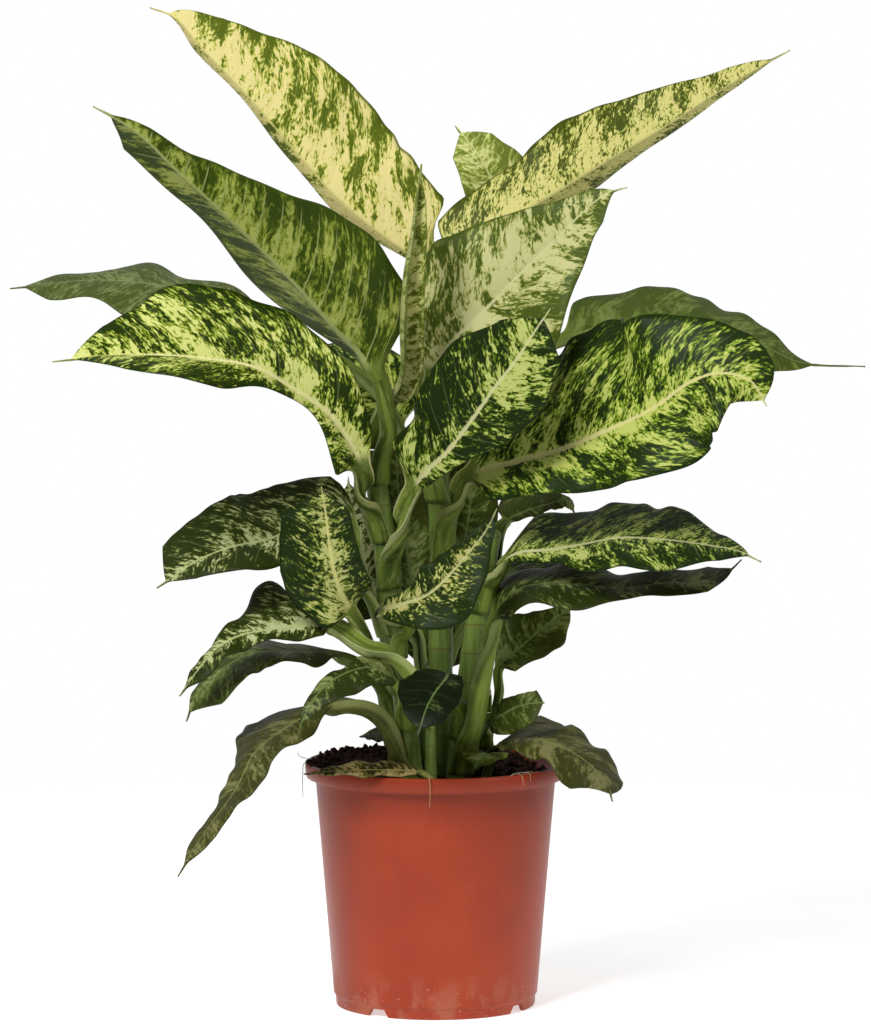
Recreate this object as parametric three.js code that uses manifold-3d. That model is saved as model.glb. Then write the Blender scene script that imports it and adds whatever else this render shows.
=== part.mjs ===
// A dieffenbachia in a 17 cm plastic nursery pot: pot, soil, seven canes and the leaves,
// each leaf one closed solid from the sheath that clasps its cane to the thread at its tip.
// Millimetres, +Z up, the viewer's side is -Y. The origin is the middle of the pot's foot.
import * as THREE from "three";
import { mergeVertices } from "three/addons/utils/BufferGeometryUtils.js";
import Module from "manifold-3d";

const wasm = await Module();
wasm.setup();

// Driving dimensions

const POT_HEIGHT = 159;
const RIM_RADIUS = 85;
const RIM_BAND = 10;
const SHOULDER_RADIUS = 78;
const BASE_RADIUS = 66.5;
const FOOT_RADIUS = 65;
const FOOT_HEIGHT = 7;
const FOOT_WIDTH = 3;
const POT_WALL = 1.6;
const POT_SIDES = 48;
const NOTCH_AZIMUTHS = [-125, -35, 55, 145];
const NOTCH_TOP = 10;
const NOTCH_BOTTOM = 17;
const NOTCH_HEIGHT = 5;
const DRAIN_RADIUS = 4;
const DRAIN_CIRCLE = 38;
const DRAINS = 6;

const SOIL_EDGE = 149;
const SOIL_MOUND = 11.5;
const SOIL_BUMP = 1.4;
const SOIL_HEAP = [-4, 42];
const SOIL_RIM = [67, 75];
const HOLE_FLOOR = 138;

const GAP = 0.3;
const CANE_SIDES = 10;
const CANE_STEP = 25;

const BLADE_HALF_THICKNESS = 0.45;
const SHEATH_ANGLE = 80;
const SHEATH_TAPER = 0.42;
const SHEATH_CLEARANCE = 0.5;
const SHEATH_THIN = 0.7;
const SHEATH_THICK = 0.8;
const SHEATH_FADE = 24;
const STALK_DEPTH = 1.2;
const COLUMNS = [-1, -0.5, 0, 0.5, 1];
const BLADE_STATIONS = [0, 0.05, 0.12, 0.2, 0.3, 0.4, 0.5, 0.6, 0.7, 0.8, 0.89, 0.96, 1];
const SMALL_STATIONS = [0, 0.08, 0.2, 0.35, 0.5, 0.66, 0.82, 0.94, 1];
const SMALL_BLADE = 85;
const BLADE_SHAPE = [0.55, 0.8];
const TIP_THREAD = 0.05;
const WAVES = 3.3;
const SPINE_STEPS = 12;

// Materials

const TERRACOTTA = { color: 0xa5452f, roughness: 0.45, metalness: 0 };
const SOIL_DARK = { color: 0x2b1712, roughness: 0.95, metalness: 0 };
const CANE_GREEN = { color: 0x6f8a3a, roughness: 0.5, metalness: 0 };
const LEAF_CREAM = { color: 0xd8d08a, roughness: 0.45, metalness: 0 };
const LEAF_LIME = { color: 0x8fab45, roughness: 0.42, metalness: 0 };
const LEAF_GREEN = { color: 0x3c6428, roughness: 0.42, metalness: 0 };

// Canes: the axis from the hole's floor up, and the radius at the bottom and at the top

const CANES = {
  left: {
    axis: [
      [-22, 8, HOLE_FLOOR], [-22, 8, 154], [-25, 6, 190], [-28, 4, 231], [-32, 0, 291],
      [-38, -2, 340], [-40, -2, 362],
    ],
    radius: [9, 7],
  },
  centre: {
    axis: [
      [2, 5, HOLE_FLOOR], [2, 5, 154], [3, 5, 231], [4, 3, 290], [2, 0, 336], [-1, 2, 369],
      [-1, 4, 392],
    ],
    radius: [9, 7],
  },
  right: {
    axis: [
      [15, -14, HOLE_FLOOR], [15, -14, 152], [21, -16, 208], [27, -18, 253], [33, -16, 290],
      [36, -15, 312],
    ],
    radius: [8.5, 7],
  },
  front_left: {
    axis: [
      [-15, -31, HOLE_FLOOR], [-15, -31, 152], [-20, -36, 197], [-25, -40, 230],
      [-28, -41, 246],
    ],
    radius: [7.5, 6],
  },
  front_thin: {
    axis: [[-3, -50, HOLE_FLOOR], [-3, -50, 170], [-4, -50, 205]],
    radius: [4, 3.5],
  },
  small_right: {
    axis: [[33, 5, HOLE_FLOOR], [33, 5, 160], [34, 5, 190]],
    radius: [5, 4],
  },
  back: {
    axis: [
      [-5, 40, HOLE_FLOOR], [-5, 40, 154], [-4, 44, 227], [2, 48, 299], [7, 50, 358],
      [8, 52, 376],
    ],
    radius: [8, 6],
  },
};

// Leaves. cane and seat: the cane and the heights between which the sheath clasps it.
// petiole and blade: points of the midrib's line. face: where the upper surface looks, at the
// blade's base and at its tip. edge: the widths of the left and the right half, seen from above with
// the tip away, at 0.1, 0.3, 0.5, 0.7 and 0.9 of the blade. lift, curl: for the same halves, the angle
// each is raised at the midrib, and how much more at the edge. Where the photograph shows no outline,
// half is each half's greatest width. thread: the share of the blade that is the drip tip's thin end.
// A leaf without a seat starts at its first petiole point, on a cane's top or in the soil.

const LEAVES = [
  {
    name: "cream_left", cane: "centre", seat: [377, 390], stalk: 4.8, look: LEAF_CREAM,
    petiole: [[-8, 14, 404], [-6, 24, 442]],
    blade: [
      [2, 38, 474], [-14, 34, 485], [-34, 33, 499], [-62, 34, 522], [-91, 40, 554], [-124, 46, 592],
      [-153, 52, 622], [-170, 56, 641], [-187, 58, 648],
    ],
    face: [[0.3, -1, 0.2], [0.1, -1, 0.3]],
    edge: [[7, 17, 14, 10, 10], [48, 57, 61, 51, 25]],
    lift: [-75, 0], curl: [-10, -8], wave: 2.5,
  },
  {
    name: "olive_left", cane: "left", seat: [340, 357], stalk: 5.2, look: LEAF_GREEN,
    petiole: [[-31, -14, 374], [-32, -19, 392]],
    blade: [
      [-36, -22, 411], [-67, -34, 447], [-99, -46, 483], [-131, -58, 515], [-162, -68, 544],
      [-190, -76, 571], [-216, -80, 586],
    ],
    face: [[0.3, 1, 0.3], [0.1, 1, 0.4]],
    edge: [[52, 58, 43, 21, 8], [13, 42, 35, 26, 30]],
    lift: [4, 42], curl: [10, -8], wave: 3,
  },
  {
    name: "far_left", cane: "back", seat: [294, 312], stalk: 4.4, look: LEAF_GREEN,
    petiole: [[-14, 54, 350], [-34, 66, 392], [-66, 76, 418]],
    blade: [
      [-100, 84, 432], [-133, 92, 453], [-183, 100, 464], [-223, 108, 467], [-260, 114, 464],
      [-284, 118, 461],
    ],
    face: [[0, -0.4, 0.9], [0, -0.3, 0.9]],
    edge: [[22, 36, 38, 27, 17], [12, 26, 39, 41, 20]],
    lift: [0, 0], curl: [-20, -20], wave: 4,
  },
  {
    name: "big_left", cane: "left", seat: [302, 320], stalk: 6.2, look: LEAF_LIME,
    petiole: [[-45, -15, 334]],
    blade: [
      [-46, -28, 349], [-54, -36, 367], [-70, -48, 390], [-93, -62, 407], [-114, -74, 420],
      [-149, -88, 427], [-186, -102, 430], [-220, -112, 429], [-240, -116, 427],
    ],
    face: [[0.2, -0.95, -0.1], [0.1, -0.8, 0.7]],
    edge: [[32, 10, 25, 58, 49], [18, 37, 45, 51, 23]],
    lift: [65, 0], curl: [-30, -10], wave: 3,
  },
  {
    name: "spear", cane: "left", stalk: 5.5, look: LEAF_LIME,
    petiole: [[-40, -2, 363], [-39.5, -2, 371]],
    blade: [
      [-31, -4, 391], [-21, -24, 412], [-19, -46, 448], [-17, -54, 477], [-13, -54, 506],
      [-9, -51, 549],
    ],
    face: [[0.4, -1, 0], [0.4, -1, 0]],
    edge: [[7, 14, 17, 14, 8], [13, 17, 17, 14, 8]],
    lift: [20, 20], curl: [90, 90], wave: 0,
  },
  {
    name: "top_back", cane: "back", seat: [338, 352], stalk: 3.6, look: LEAF_LIME,
    petiole: [[22, 62, 388], [36, 65, 425]],
    blade: [[50, 68, 456], [48, 78, 495], [41, 86, 525], [28, 92, 551], [13, 98, 570]],
    face: [[0.2, -1, 0.4], [0.2, -1, 0.5]],
    edge: [[14, 19, 22, 22, 17], [22, 28, 28, 28, 16]],
    lift: [5, 5], curl: [5, 5], wave: 1.5,
  },
  {
    name: "cream_right", cane: "centre", seat: [352, 367], stalk: 4.8, look: LEAF_CREAM,
    petiole: [[14, 10, 386], [16, 22, 439]],
    blade: [
      [12, 22, 470], [26, 30, 488], [49, 36, 509], [81, 42, 529], [114, 50, 549], [147, 58, 568],
      [183, 66, 591], [211, 72, 608], [233, 76, 620],
    ],
    face: [[-0.2, -1, 0.4], [-0.1, -1, 0.5]],
    edge: [[36, 34, 42, 28, 12], [12, 27, 24, 13, 9]],
    lift: [0, -80], curl: [-8, -15], wave: 2.5,
  },
  {
    name: "pale_centre", cane: "centre", seat: [329, 347], stalk: 5.2, look: LEAF_CREAM,
    petiole: [[-5, -10, 364], [-5, -14, 386]],
    blade: [
      [-3, -16, 408], [9, -24, 432], [29, -32, 452], [51, -40, 475], [73, -46, 497],
      [92, -50, 516], [109, -52, 530], [122, -52, 534],
    ],
    face: [[-0.2, -1, 0.15], [-0.2, -1, 0.4]],
    edge: [[27, 54, 47, 30, 12], [32, 57, 57, 34, 17]],
    lift: [4, 28], curl: [-6, -20], wave: 2.5,
  },
  {
    name: "right_back", cane: "back", seat: [312, 328], stalk: 4.4, look: LEAF_GREEN,
    petiole: [[22, 45, 356], [38, 48, 394], [60, 54, 422]],
    blade: [
      [82, 62, 431], [122, 70, 440], [162, 78, 442], [195, 86, 434], [222, 92, 422],
      [242, 96, 413], [286, 100, 410],
    ],
    face: [[0, -0.45, 0.9], [0.2, -0.3, 1]],
    edge: [[34, 40, 38, 34, 16], [29, 40, 40, 36, 11]],
    lift: [10, -10], curl: [-10, -25], thread: 0.16, wave: 2.5,
  },
  {
    name: "big_right", cane: "centre", seat: [286, 308], stalk: 5.8, look: LEAF_LIME,
    petiole: [[8, -13, 322], [12, -23, 333]],
    blade: [
      [18, -32, 347], [49, -50, 358], [80, -68, 368], [112, -86, 383], [136, -102, 396],
      [160, -114, 414], [177, -121, 420], [196, -126, 416], [207, -130, 400],
    ],
    face: [[-0.1, -0.85, 0.5], [0, -0.9, 0.4]],
    edge: [[45, 62, 74, 58, 30], [25, 32, 42, 48, 42]],
    lift: [0, 18], curl: [-6, -20], thread: 0.02, wave: 3,
  },
  {
    name: "centre_front", cane: "left", seat: [272, 290], stalk: 5.4, look: LEAF_GREEN,
    petiole: [[-26, -20, 304], [-23, -32, 322]],
    blade: [
      [-16, -42, 339], [-7, -54, 352], [7, -67, 366], [23, -82, 388], [38, -94, 410],
      [52, -103, 429], [62, -108, 445], [72, -110, 460],
    ],
    face: [[-0.2, -1, 0.2], [-0.1, -1, 0.4]],
    edge: [[29, 35, 41, 38, 23], [8, 13, 27, 33, 26]],
    lift: [6, 6], curl: [-8, -12], wave: 2.5,
  },
  {
    name: "mid_left", cane: "left", seat: [240, 256], stalk: 4.8, look: LEAF_GREEN,
    petiole: [[-45, 0, 276], [-53, -8, 297]],
    blade: [
      [-53, -15, 310], [-60, -21, 317], [-72, -30, 319], [-88, -43, 315], [-109, -56, 309],
      [-131, -66, 305], [-150, -74, 298], [-165, -80, 289], [-177, -84, 281],
    ],
    face: [[0, -0.85, 0.5], [-0.2, -0.7, 0.7]],
    edge: [[21, 32, 27, 28, 14], [35, 39, 43, 37, 27]],
    lift: [30, 0], curl: [-30, -10], wave: 2.5,
  },
  {
    name: "front_up_left", cane: "front_left", seat: [208, 221], stalk: 4.4, look: LEAF_LIME,
    petiole: [[-41, -46, 242]],
    blade: [
      [-53, -66, 264], [-59, -76, 275], [-64, -84, 291], [-67, -88, 309], [-69, -92, 328],
      [-72, -98, 347],
    ],
    face: [[0, -0.8, 0.5], [0, -0.9, 0.1]],
    edge: [[22, 32, 33, 31, 28], [14, 23, 22, 20, 18]],
    lift: [0, 40], curl: [-10, -10], wave: 2,
  },
  {
    name: "front_up_right", cane: "front_left", seat: [231, 243], stalk: 4.4, look: LEAF_GREEN,
    petiole: [[-18, -54, 254]],
    blade: [
      [-36, -62, 264], [-20, -74, 270], [-3, -82, 278], [9, -86, 290], [21, -88, 304],
      [32, -87, 318], [39, -84, 332],
    ],
    face: [[-0.2, -0.75, 0.6], [-0.3, -0.8, 0.4]],
    edge: [[6, 11, 16, 10, 6], [10, 22, 30, 20, 7]],
    lift: [35, 0], curl: [-10, -10], wave: 2,
  },
  {
    name: "low_left_upper", cane: "front_thin", seat: [187, 202], stalk: 6, look: LEAF_GREEN,
    petiole: [[-13, -56, 222], [-27, -60, 238], [-44, -67, 243]],
    blade: [
      [-65, -64, 256], [-84, -72, 256], [-105, -80, 254], [-124, -87, 251], [-139, -93, 243],
      [-151, -98, 229], [-162, -100, 214],
    ],
    face: [[0, -0.6, 0.8], [-0.5, -0.5, 0.7]],
    edge: [[12, 12, 11, 14, 9], [34, 46, 19, 8, 5]],
    lift: [10, 5], curl: [-30, -10], wave: 2.5,
  },
  {
    name: "low_left_lower", cane: "left", seat: [168, 188], stalk: 4.6, look: LEAF_GREEN,
    petiole: [[-33, -8, 207], [-44, -13, 222]],
    blade: [
      [-59, -16, 230], [-87, -36, 235], [-119, -52, 235], [-141, -62, 223], [-154, -68, 208],
      [-159, -70, 194],
    ],
    face: [[0, -0.35, 0.95], [-0.6, -0.4, 0.6]],
    edge: [[9, 25, 20, 30, 30], [54, 47, 36, 23, 9]],
    lift: [10, -5], curl: [-20, -20], wave: 2.5,
  },
  {
    name: "front_small", cane: "front_left", seat: [184, 194], stalk: 3.2, look: LEAF_GREEN,
    petiole: [[-20, -58, 208]],
    blade: [
      [-25, -75, 221], [-37, -84, 230], [-52, -95, 230], [-70, -108, 221], [-82, -116, 204],
      [-86, -118, 193],
    ],
    face: [[0, -0.35, 0.95], [-0.4, -0.7, 0.5]],
    edge: [[16, 21, 19, 15, 5], [17, 11, 6, 6, 4]],
    lift: [0, 10], curl: [-15, -15], wave: 1.5,
  },
  {
    name: "front_dark", cane: "right", seat: [176, 192], stalk: 3.2, look: LEAF_GREEN,
    petiole: [[12, -36, 208]],
    blade: [[9, -50, 222], [6, -72, 221], [0, -94, 216], [-6, -112, 207], [-11, -122, 192]],
    face: [[0.1, -0.5, 0.85], [-0.1, -0.7, 0.7]],
    edge: [[9, 13, 16, 18, 13], [16, 19, 23, 22, 13]],
    lift: [5, 10], curl: [-15, -10], wave: 1.5,
  },
  {
    name: "droop_left", cane: "front_left", seat: [157, 167], stalk: 7, look: LEAF_GREEN,
    petiole: [[-29, -39, 189], [-40, -46, 201], [-54, -53, 206]],
    blade: [
      [-66, -58, 205], [-91, -78, 194], [-114, -96, 178], [-126, -110, 156], [-138, -120, 140],
      [-151, -128, 122], [-162, -134, 104],
    ],
    face: [[-0.5, -0.2, 0.8], [-0.8, -0.3, 0.4]],
    edge: [[14, 30, 21, 16, 10], [50, 46, 17, 14, 10]],
    lift: [-5, 10], curl: [-15, -15], wave: 2,
  },
  {
    name: "right_shelf", cane: "right", seat: [258, 277], stalk: 5.2, look: LEAF_LIME,
    petiole: [[38, -30, 283]],
    blade: [
      [40, -34, 290], [52, -42, 299], [72, -50, 302], [95, -62, 307], [116, -74, 312],
      [144, -84, 312], [172, -91, 309], [193, -94, 305], [206, -96, 299],
    ],
    face: [[0, -0.45, 0.9], [0.2, -0.4, 0.9]],
    edge: [[48, 54, 51, 40, 18], [8, 19, 33, 31, 15]],
    lift: [5, 0], curl: [-10, -20], wave: 2.5,
  },
  {
    name: "right_under", cane: "right", seat: [153, 172], stalk: 6.2, look: LEAF_GREEN,
    petiole: [[25, -34, 190], [29, -37, 222]],
    blade: [
      [35, -42, 254], [50, -47, 275], [72, -52, 281], [96, -57, 280], [121, -61, 279],
      [144, -63, 282], [169, -66, 284], [185, -68, 289], [195, -70, 298],
    ],
    face: [[0, -0.25, 1], [0, -0.3, 1]],
    edge: [[36, 38, 33, 20, 24], [28, 31, 26, 13, 18]],
    lift: [5, 0], curl: [-10, -15], wave: 3,
  },
  {
    name: "right_small", cane: "small_right", seat: [179, 187], stalk: 2.6, look: LEAF_GREEN,
    petiole: [[41, 8, 203]],
    blade: [[41, 9, 219], [55, 10, 232], [71, 14, 245], [83, 16, 254], [90, 18, 259]],
    face: [[-0.2, -0.7, 0.7], [0.2, -0.8, 0.6]],
    edge: [[14, 24, 22, 12, 7], [12, 14, 17, 18, 9]],
    lift: [10, 10], curl: [-10, -20], wave: 1.5,
  },
  {
    name: "right_round", cane: "small_right", seat: [167, 175], stalk: 2.2, look: LEAF_GREEN,
    petiole: [[31, -11, 182]],
    blade: [[35, -20, 188], [43, -30, 193], [52, -37, 199], [61, -42, 202], [70, -45, 203]],
    face: [[-0.1, -0.9, 0.5], [0, -0.9, 0.5]],
    edge: [[9, 10, 9, 8, 9], [10, 14, 16, 16, 13]],
    lift: [5, 5], curl: [-10, -10], thread: 0.02, wave: 1,
  },
  {
    name: "rim_droop", cane: "small_right", seat: [155, 164], stalk: 3, look: LEAF_GREEN,
    petiole: [[37, -8, 166]],
    blade: [
      [39, -19, 172], [52, -30, 178], [64, -40, 179], [78, -49, 176], [90, -57, 171],
      [101, -63, 163], [110, -69, 153], [113, -74, 143],
    ],
    face: [[0, -0.4, 0.9], [0.7, -0.3, 0.5]],
    edge: [[42, 39, 36, 34, 30], [11, 19, 20, 28, 36]],
    lift: [0, -5], curl: [-10, -15], wave: 2,
  },
  {
    name: "soil_small", stalk: 2.4, look: LEAF_GREEN,
    petiole: [[33, -22, HOLE_FLOOR + 2], [33, -22, 156]],
    blade: [[35, -28, 166], [33, -38, 169], [29, -50, 167], [25, -60, 162]],
    face: [[-0.1, -0.5, 0.9], [-0.1, -0.6, 0.8]],
    half: [16, 16], lift: [10, 10], curl: [-10, -10], wave: 1,
  },
  {
    name: "old_on_rim", stalk: 2.6, look: LEAF_LIME,
    petiole: [[-1, -62, HOLE_FLOOR + 2], [-1, -62, 154]],
    blade: [[-7, -64, 160], [-35, -72, 163], [-64, -78, 163], [-84, -76, 161]],
    face: [[0, -0.2, 1], [-0.2, -0.2, 1]],
    half: [9, 12], lift: [-5, 15], curl: [-10, -10], wave: 1,
  },
  {
    name: "back_tip", stalk: 2.4, look: LEAF_GREEN,
    petiole: [[-10, 20, HOLE_FLOOR + 2], [-10, 20, 163]],
    blade: [[-17, 24, 170], [-33, 31, 174], [-50, 38, 170]],
    face: [[0, -0.4, 0.9], [-0.2, -0.4, 0.9]],
    half: [12, 12], lift: [5, 5], curl: [-10, -10], wave: 1,
  },
  {
    name: "under_right", cane: "right", seat: [288, 303], stalk: 3, look: LEAF_GREEN,
    petiole: [[41, -3, 311]],
    blade: [[46, 6, 316], [58, 14, 321], [75, 16, 326], [86, 16, 328], [91, 16, 319]],
    face: [[0, -0.4, 0.9], [0.3, -0.3, 0.9]],
    edge: [[15, 29, 29, 15, 8], [5, 7, 8, 7, 8]],
    lift: [0, 0], curl: [-10, -20], wave: 1.5,
  },
  {
    name: "new_shoot", cane: "small_right", stalk: 2, look: LEAF_LIME,
    petiole: [[34, 5, 190.4], [34, 5, 196]],
    blade: [[34, 5, 201], [33, 4, 208], [31, 3, 216]],
    face: [[0, -1, 0], [0, -1, 0]],
    half: [5, 5], lift: [25, 25], curl: [120, 120], wave: 0,
  },
  {
    name: "inner_left", cane: "centre", seat: [222, 236], stalk: 3.6, look: LEAF_GREEN,
    petiole: [[-10, 16, 254]],
    blade: [[-14, 18, 268], [-19, 20, 296], [-24, 22, 330], [-26, 24, 372]],
    face: [[0.1, -1, 0.1], [0.1, -1, 0.2]],
    half: [20, 18], lift: [5, 5], curl: [-10, -10], wave: 1,
  },
  {
    name: "inner_right", cane: "centre", seat: [252, 266], stalk: 3.6, look: LEAF_GREEN,
    petiole: [[14, 16, 280]],
    blade: [[17, 20, 292], [21, 24, 312], [24, 26, 338], [26, 28, 364]],
    face: [[-0.1, -1, 0.1], [-0.1, -1, 0.2]],
    half: [21, 19], lift: [5, 5], curl: [-10, -10], wave: 1,
  },
  {
    name: "back_high", cane: "back", seat: [364, 374], stalk: 4, look: LEAF_GREEN,
    petiole: [[3, 70, 394], [6, 82, 420]],
    blade: [[12, 92, 438], [16, 113, 450], [20, 133, 452], [24, 152, 441]],
    face: [[0, -0.3, 1], [0.1, 0.3, 1]],
    half: [38, 38], lift: [5, 5], curl: [-15, -15], wave: 2.5,
  },
  {
    name: "back_left", cane: "back", seat: [270, 286], stalk: 4, look: LEAF_GREEN,
    petiole: [[-18, 58, 320], [-22, 66, 350]],
    blade: [[-24, 72, 370], [-42, 86, 396], [-78, 104, 410], [-112, 116, 412], [-140, 124, 402]],
    face: [[0.1, -0.9, 0.4], [-0.2, 0.2, 1]],
    half: [36, 36], lift: [5, 5], curl: [-15, -15], wave: 2.5,
  },
  {
    name: "back_right", cane: "back", seat: [240, 256], stalk: 4, look: LEAF_GREEN,
    petiole: [[20, 56, 296], [38, 68, 340]],
    blade: [[54, 78, 372], [92, 94, 392], [128, 108, 396], [158, 118, 386]],
    face: [[0, -0.2, 1], [0.2, 0.2, 1]],
    half: [40, 40], lift: [5, 5], curl: [-15, -15], wave: 2.5,
  },
  {
    name: "back_low_left", cane: "back", seat: [212, 230], stalk: 3.6, look: LEAF_GREEN,
    petiole: [[-18, 52, 240]],
    blade: [[-30, 58, 248], [-44, 64, 272], [-54, 72, 305], [-58, 82, 338]],
    face: [[0, -1, 0.2], [0, -1, 0.2]],
    half: [34, 34], lift: [5, 5], curl: [-15, -15], wave: 2,
  },
  {
    name: "back_low_right", cane: "back", seat: [185, 201], stalk: 3.6, look: LEAF_GREEN,
    petiole: [[14, 50, 236], [32, 58, 262]],
    blade: [[48, 66, 276], [80, 86, 288], [108, 102, 290], [132, 112, 282]],
    face: [[0, -0.2, 1], [0.2, 0.2, 1]],
    half: [34, 34], lift: [5, 5], curl: [-15, -15], wave: 2,
  },
  {
    name: "back_low", cane: "back", seat: [165.5, 180], stalk: 3.4, look: LEAF_GREEN,
    petiole: [[-12, 66, 196]],
    blade: [[-8, 76, 212], [0, 84, 236], [3, 92, 262], [4, 99, 286]],
    face: [[0, -1, 0.3], [0, -1, 0.3]],
    half: [30, 30], lift: [0, 0], curl: [-15, -15], wave: 2,
  },
];

// Pot

function ringGeometry(profile, sides) {
  const points = profile.map(([radius, z]) => new THREE.Vector2(radius, z));
  return new THREE.LatheGeometry(points, sides).rotateX(Math.PI / 2);
}

function potProfile() {
  const shoulder = POT_HEIGHT - RIM_BAND;
  const inner = SHOULDER_RADIUS - POT_WALL;
  const floorTop = FOOT_HEIGHT + POT_WALL;
  return [
    [0, FOOT_HEIGHT],
    [FOOT_RADIUS - FOOT_WIDTH, FOOT_HEIGHT],
    [FOOT_RADIUS - FOOT_WIDTH, 0],
    [FOOT_RADIUS - 0.6, 0],
    [FOOT_RADIUS, 0.8],
    [FOOT_RADIUS + 0.3, FOOT_HEIGHT - 0.4],
    [BASE_RADIUS, FOOT_HEIGHT + 0.6],
    [SHOULDER_RADIUS, shoulder],
    [RIM_RADIUS - 2, shoulder + 0.3],
    [RIM_RADIUS - 0.6, shoulder + 1.2],
    [RIM_RADIUS, POT_HEIGHT - 0.9],
    [RIM_RADIUS - 0.7, POT_HEIGHT],
    [RIM_RADIUS - 2.2, POT_HEIGHT],
    [RIM_RADIUS - 3, POT_HEIGHT - 0.8],
    [RIM_RADIUS - 3.4, shoulder + 2.2],
    [inner, shoulder + 1.2],
    [BASE_RADIUS - POT_WALL, floorTop],
    [0, floorTop],
  ];
}

function notchGeometry(azimuth) {
  const shape = new THREE.Shape();
  shape.moveTo(-NOTCH_BOTTOM / 2, -1);
  shape.lineTo(NOTCH_BOTTOM / 2, -1);
  shape.lineTo(NOTCH_TOP / 2, NOTCH_HEIGHT);
  shape.lineTo(-NOTCH_TOP / 2, NOTCH_HEIGHT);
  const reach = FOOT_RADIUS + 6;
  const block = new THREE.ExtrudeGeometry(shape, { depth: reach - DRAIN_CIRCLE, bevelEnabled: false });
  block.translate(0, 0, DRAIN_CIRCLE).rotateX(Math.PI / 2);
  return block.rotateZ(THREE.MathUtils.degToRad(azimuth));
}

function potGeometry() {
  let body = toSolid(ringGeometry(potProfile(), POT_SIDES));
  for (const azimuth of NOTCH_AZIMUTHS) body = body.subtract(toSolid(notchGeometry(azimuth)));
  for (let i = 0; i < DRAINS; i += 1) {
    const angle = (i * 2 * Math.PI) / DRAINS;
    const drain = plug(DRAIN_RADIUS, FOOT_HEIGHT - 2, FOOT_HEIGHT + POT_WALL + 2);
    drain.translate(DRAIN_CIRCLE * Math.cos(angle), DRAIN_CIRCLE * Math.sin(angle), 0);
    body = body.subtract(toSolid(drain));
  }
  return fromSolid(body);
}

// Soil

function plug(radius, bottom, top, sides = 16) {
  const cylinder = new THREE.CylinderGeometry(radius, radius, top - bottom, sides);
  return cylinder.rotateX(Math.PI / 2).translate(0, 0, (top + bottom) / 2);
}

// The soil lies low in front of the stems and is heaped behind them, up to just above the rim.
function soilHeight(x, y) {
  const heap = THREE.MathUtils.smoothstep(y - 0.25 * x, ...SOIL_HEAP);
  const bumps = Math.sin(x * 0.21 + 1) * Math.cos(y * 0.19) + 0.6 * Math.sin(x * 0.37 - y * 0.33);
  const edge = 1 - THREE.MathUtils.smoothstep(Math.hypot(x, y), ...SOIL_RIM);
  return SOIL_EDGE + (SOIL_MOUND * heap + SOIL_BUMP * bumps) * edge;
}

function soilGeometry() {
  const floor = FOOT_HEIGHT + POT_WALL + GAP;
  const bottom = BASE_RADIUS - POT_WALL - GAP * 1.5;
  const top = SHOULDER_RADIUS - POT_WALL - GAP * 1.5;
  const rings = [69, 60, 48, 36, 25, 13].map((radius) => [radius, SOIL_EDGE]);
  const profile = [[0, floor], [bottom, floor], [top, SOIL_EDGE], ...rings, [0, SOIL_EDGE]];
  const geometry = ringGeometry(profile, POT_SIDES / 2);
  const position = geometry.getAttribute("position");
  for (let i = 0; i < position.count; i += 1) {
    const [x, y, z] = [position.getX(i), position.getY(i), position.getZ(i)];
    if (z > SOIL_EDGE - 1 && Math.hypot(x, y) < 70) position.setZ(i, soilHeight(x, y));
  }
  let body = toSolid(geometry);
  for (const { axis, radius } of Object.values(CANES)) {
    body = body.subtract(toSolid(stemHole(axis[0], radius[0] + GAP + 0.2)));
  }
  for (const leaf of LEAVES) {
    if (leaf.cane) continue;
    body = body.subtract(toSolid(stemHole(leaf.petiole[0], 1.4 * leaf.stalk + 1.8)));
  }
  return fromSolid(body);
}

function stemHole([x, y, z], radius) {
  const sides = 16;
  const hole = plug(radius / Math.cos(Math.PI / sides), z - GAP, POT_HEIGHT + 20, sides);
  return hole.translate(x, y, 0);
}

// Solids

function toSolid(geometry) {
  const bare = geometry.clone();
  bare.deleteAttribute("normal");
  bare.deleteAttribute("uv");
  const merged = mergeVertices(bare, 1e-3);
  return new wasm.Manifold(
    new wasm.Mesh({
      numProp: 3,
      vertProperties: new Float32Array(merged.getAttribute("position").array),
      triVerts: new Uint32Array(merged.index.array),
    }),
  );
}

function fromSolid(solid) {
  const mesh = solid.getMesh();
  const geometry = new THREE.BufferGeometry();
  geometry.setAttribute("position", new THREE.BufferAttribute(mesh.vertProperties, 3));
  geometry.setIndex(new THREE.BufferAttribute(mesh.triVerts, 1));
  geometry.computeVertexNormals();
  return geometry;
}

// A line through points, with the length run at each of them

function spine(points) {
  const vectors = points.map((point) => new THREE.Vector3(...point));
  const curve = new THREE.CatmullRomCurve3(vectors, false, "centripetal");
  const count = (points.length - 1) * SPINE_STEPS;
  const samples = curve.getPoints(count);
  const lengths = [0];
  for (let i = 1; i <= count; i += 1) {
    lengths.push(lengths[i - 1] + samples[i].distanceTo(samples[i - 1]));
  }
  const find = (values, value) => {
    let i = 1;
    while (i < count && values[i] < value) i += 1;
    const span = values[i] - values[i - 1];
    return { i, share: THREE.MathUtils.clamp((value - values[i - 1]) / span, 0, 1) };
  };
  const between = ({ i, share }) => samples[i - 1].clone().lerp(samples[i], share);
  return {
    total: lengths[count],
    lengthAt: (index) => lengths[index * SPINE_STEPS],
    pointAt: (length) => between(find(lengths, length)),
    pointAtHeight: (z) => between(find(samples.map((sample) => sample.z), z)),
    tangentAt: (length) => {
      const reach = 2;
      const ahead = between(find(lengths, Math.min(length + reach, lengths[count])));
      return ahead.sub(between(find(lengths, Math.max(length - reach, 0)))).normalize();
    },
  };
}

// Canes

function caneRadius(cane, z) {
  const bottom = cane.axis[0][2];
  const top = cane.axis[cane.axis.length - 1][2];
  return THREE.MathUtils.lerp(cane.radius[0], cane.radius[1], (z - bottom) / (top - bottom));
}

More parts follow.
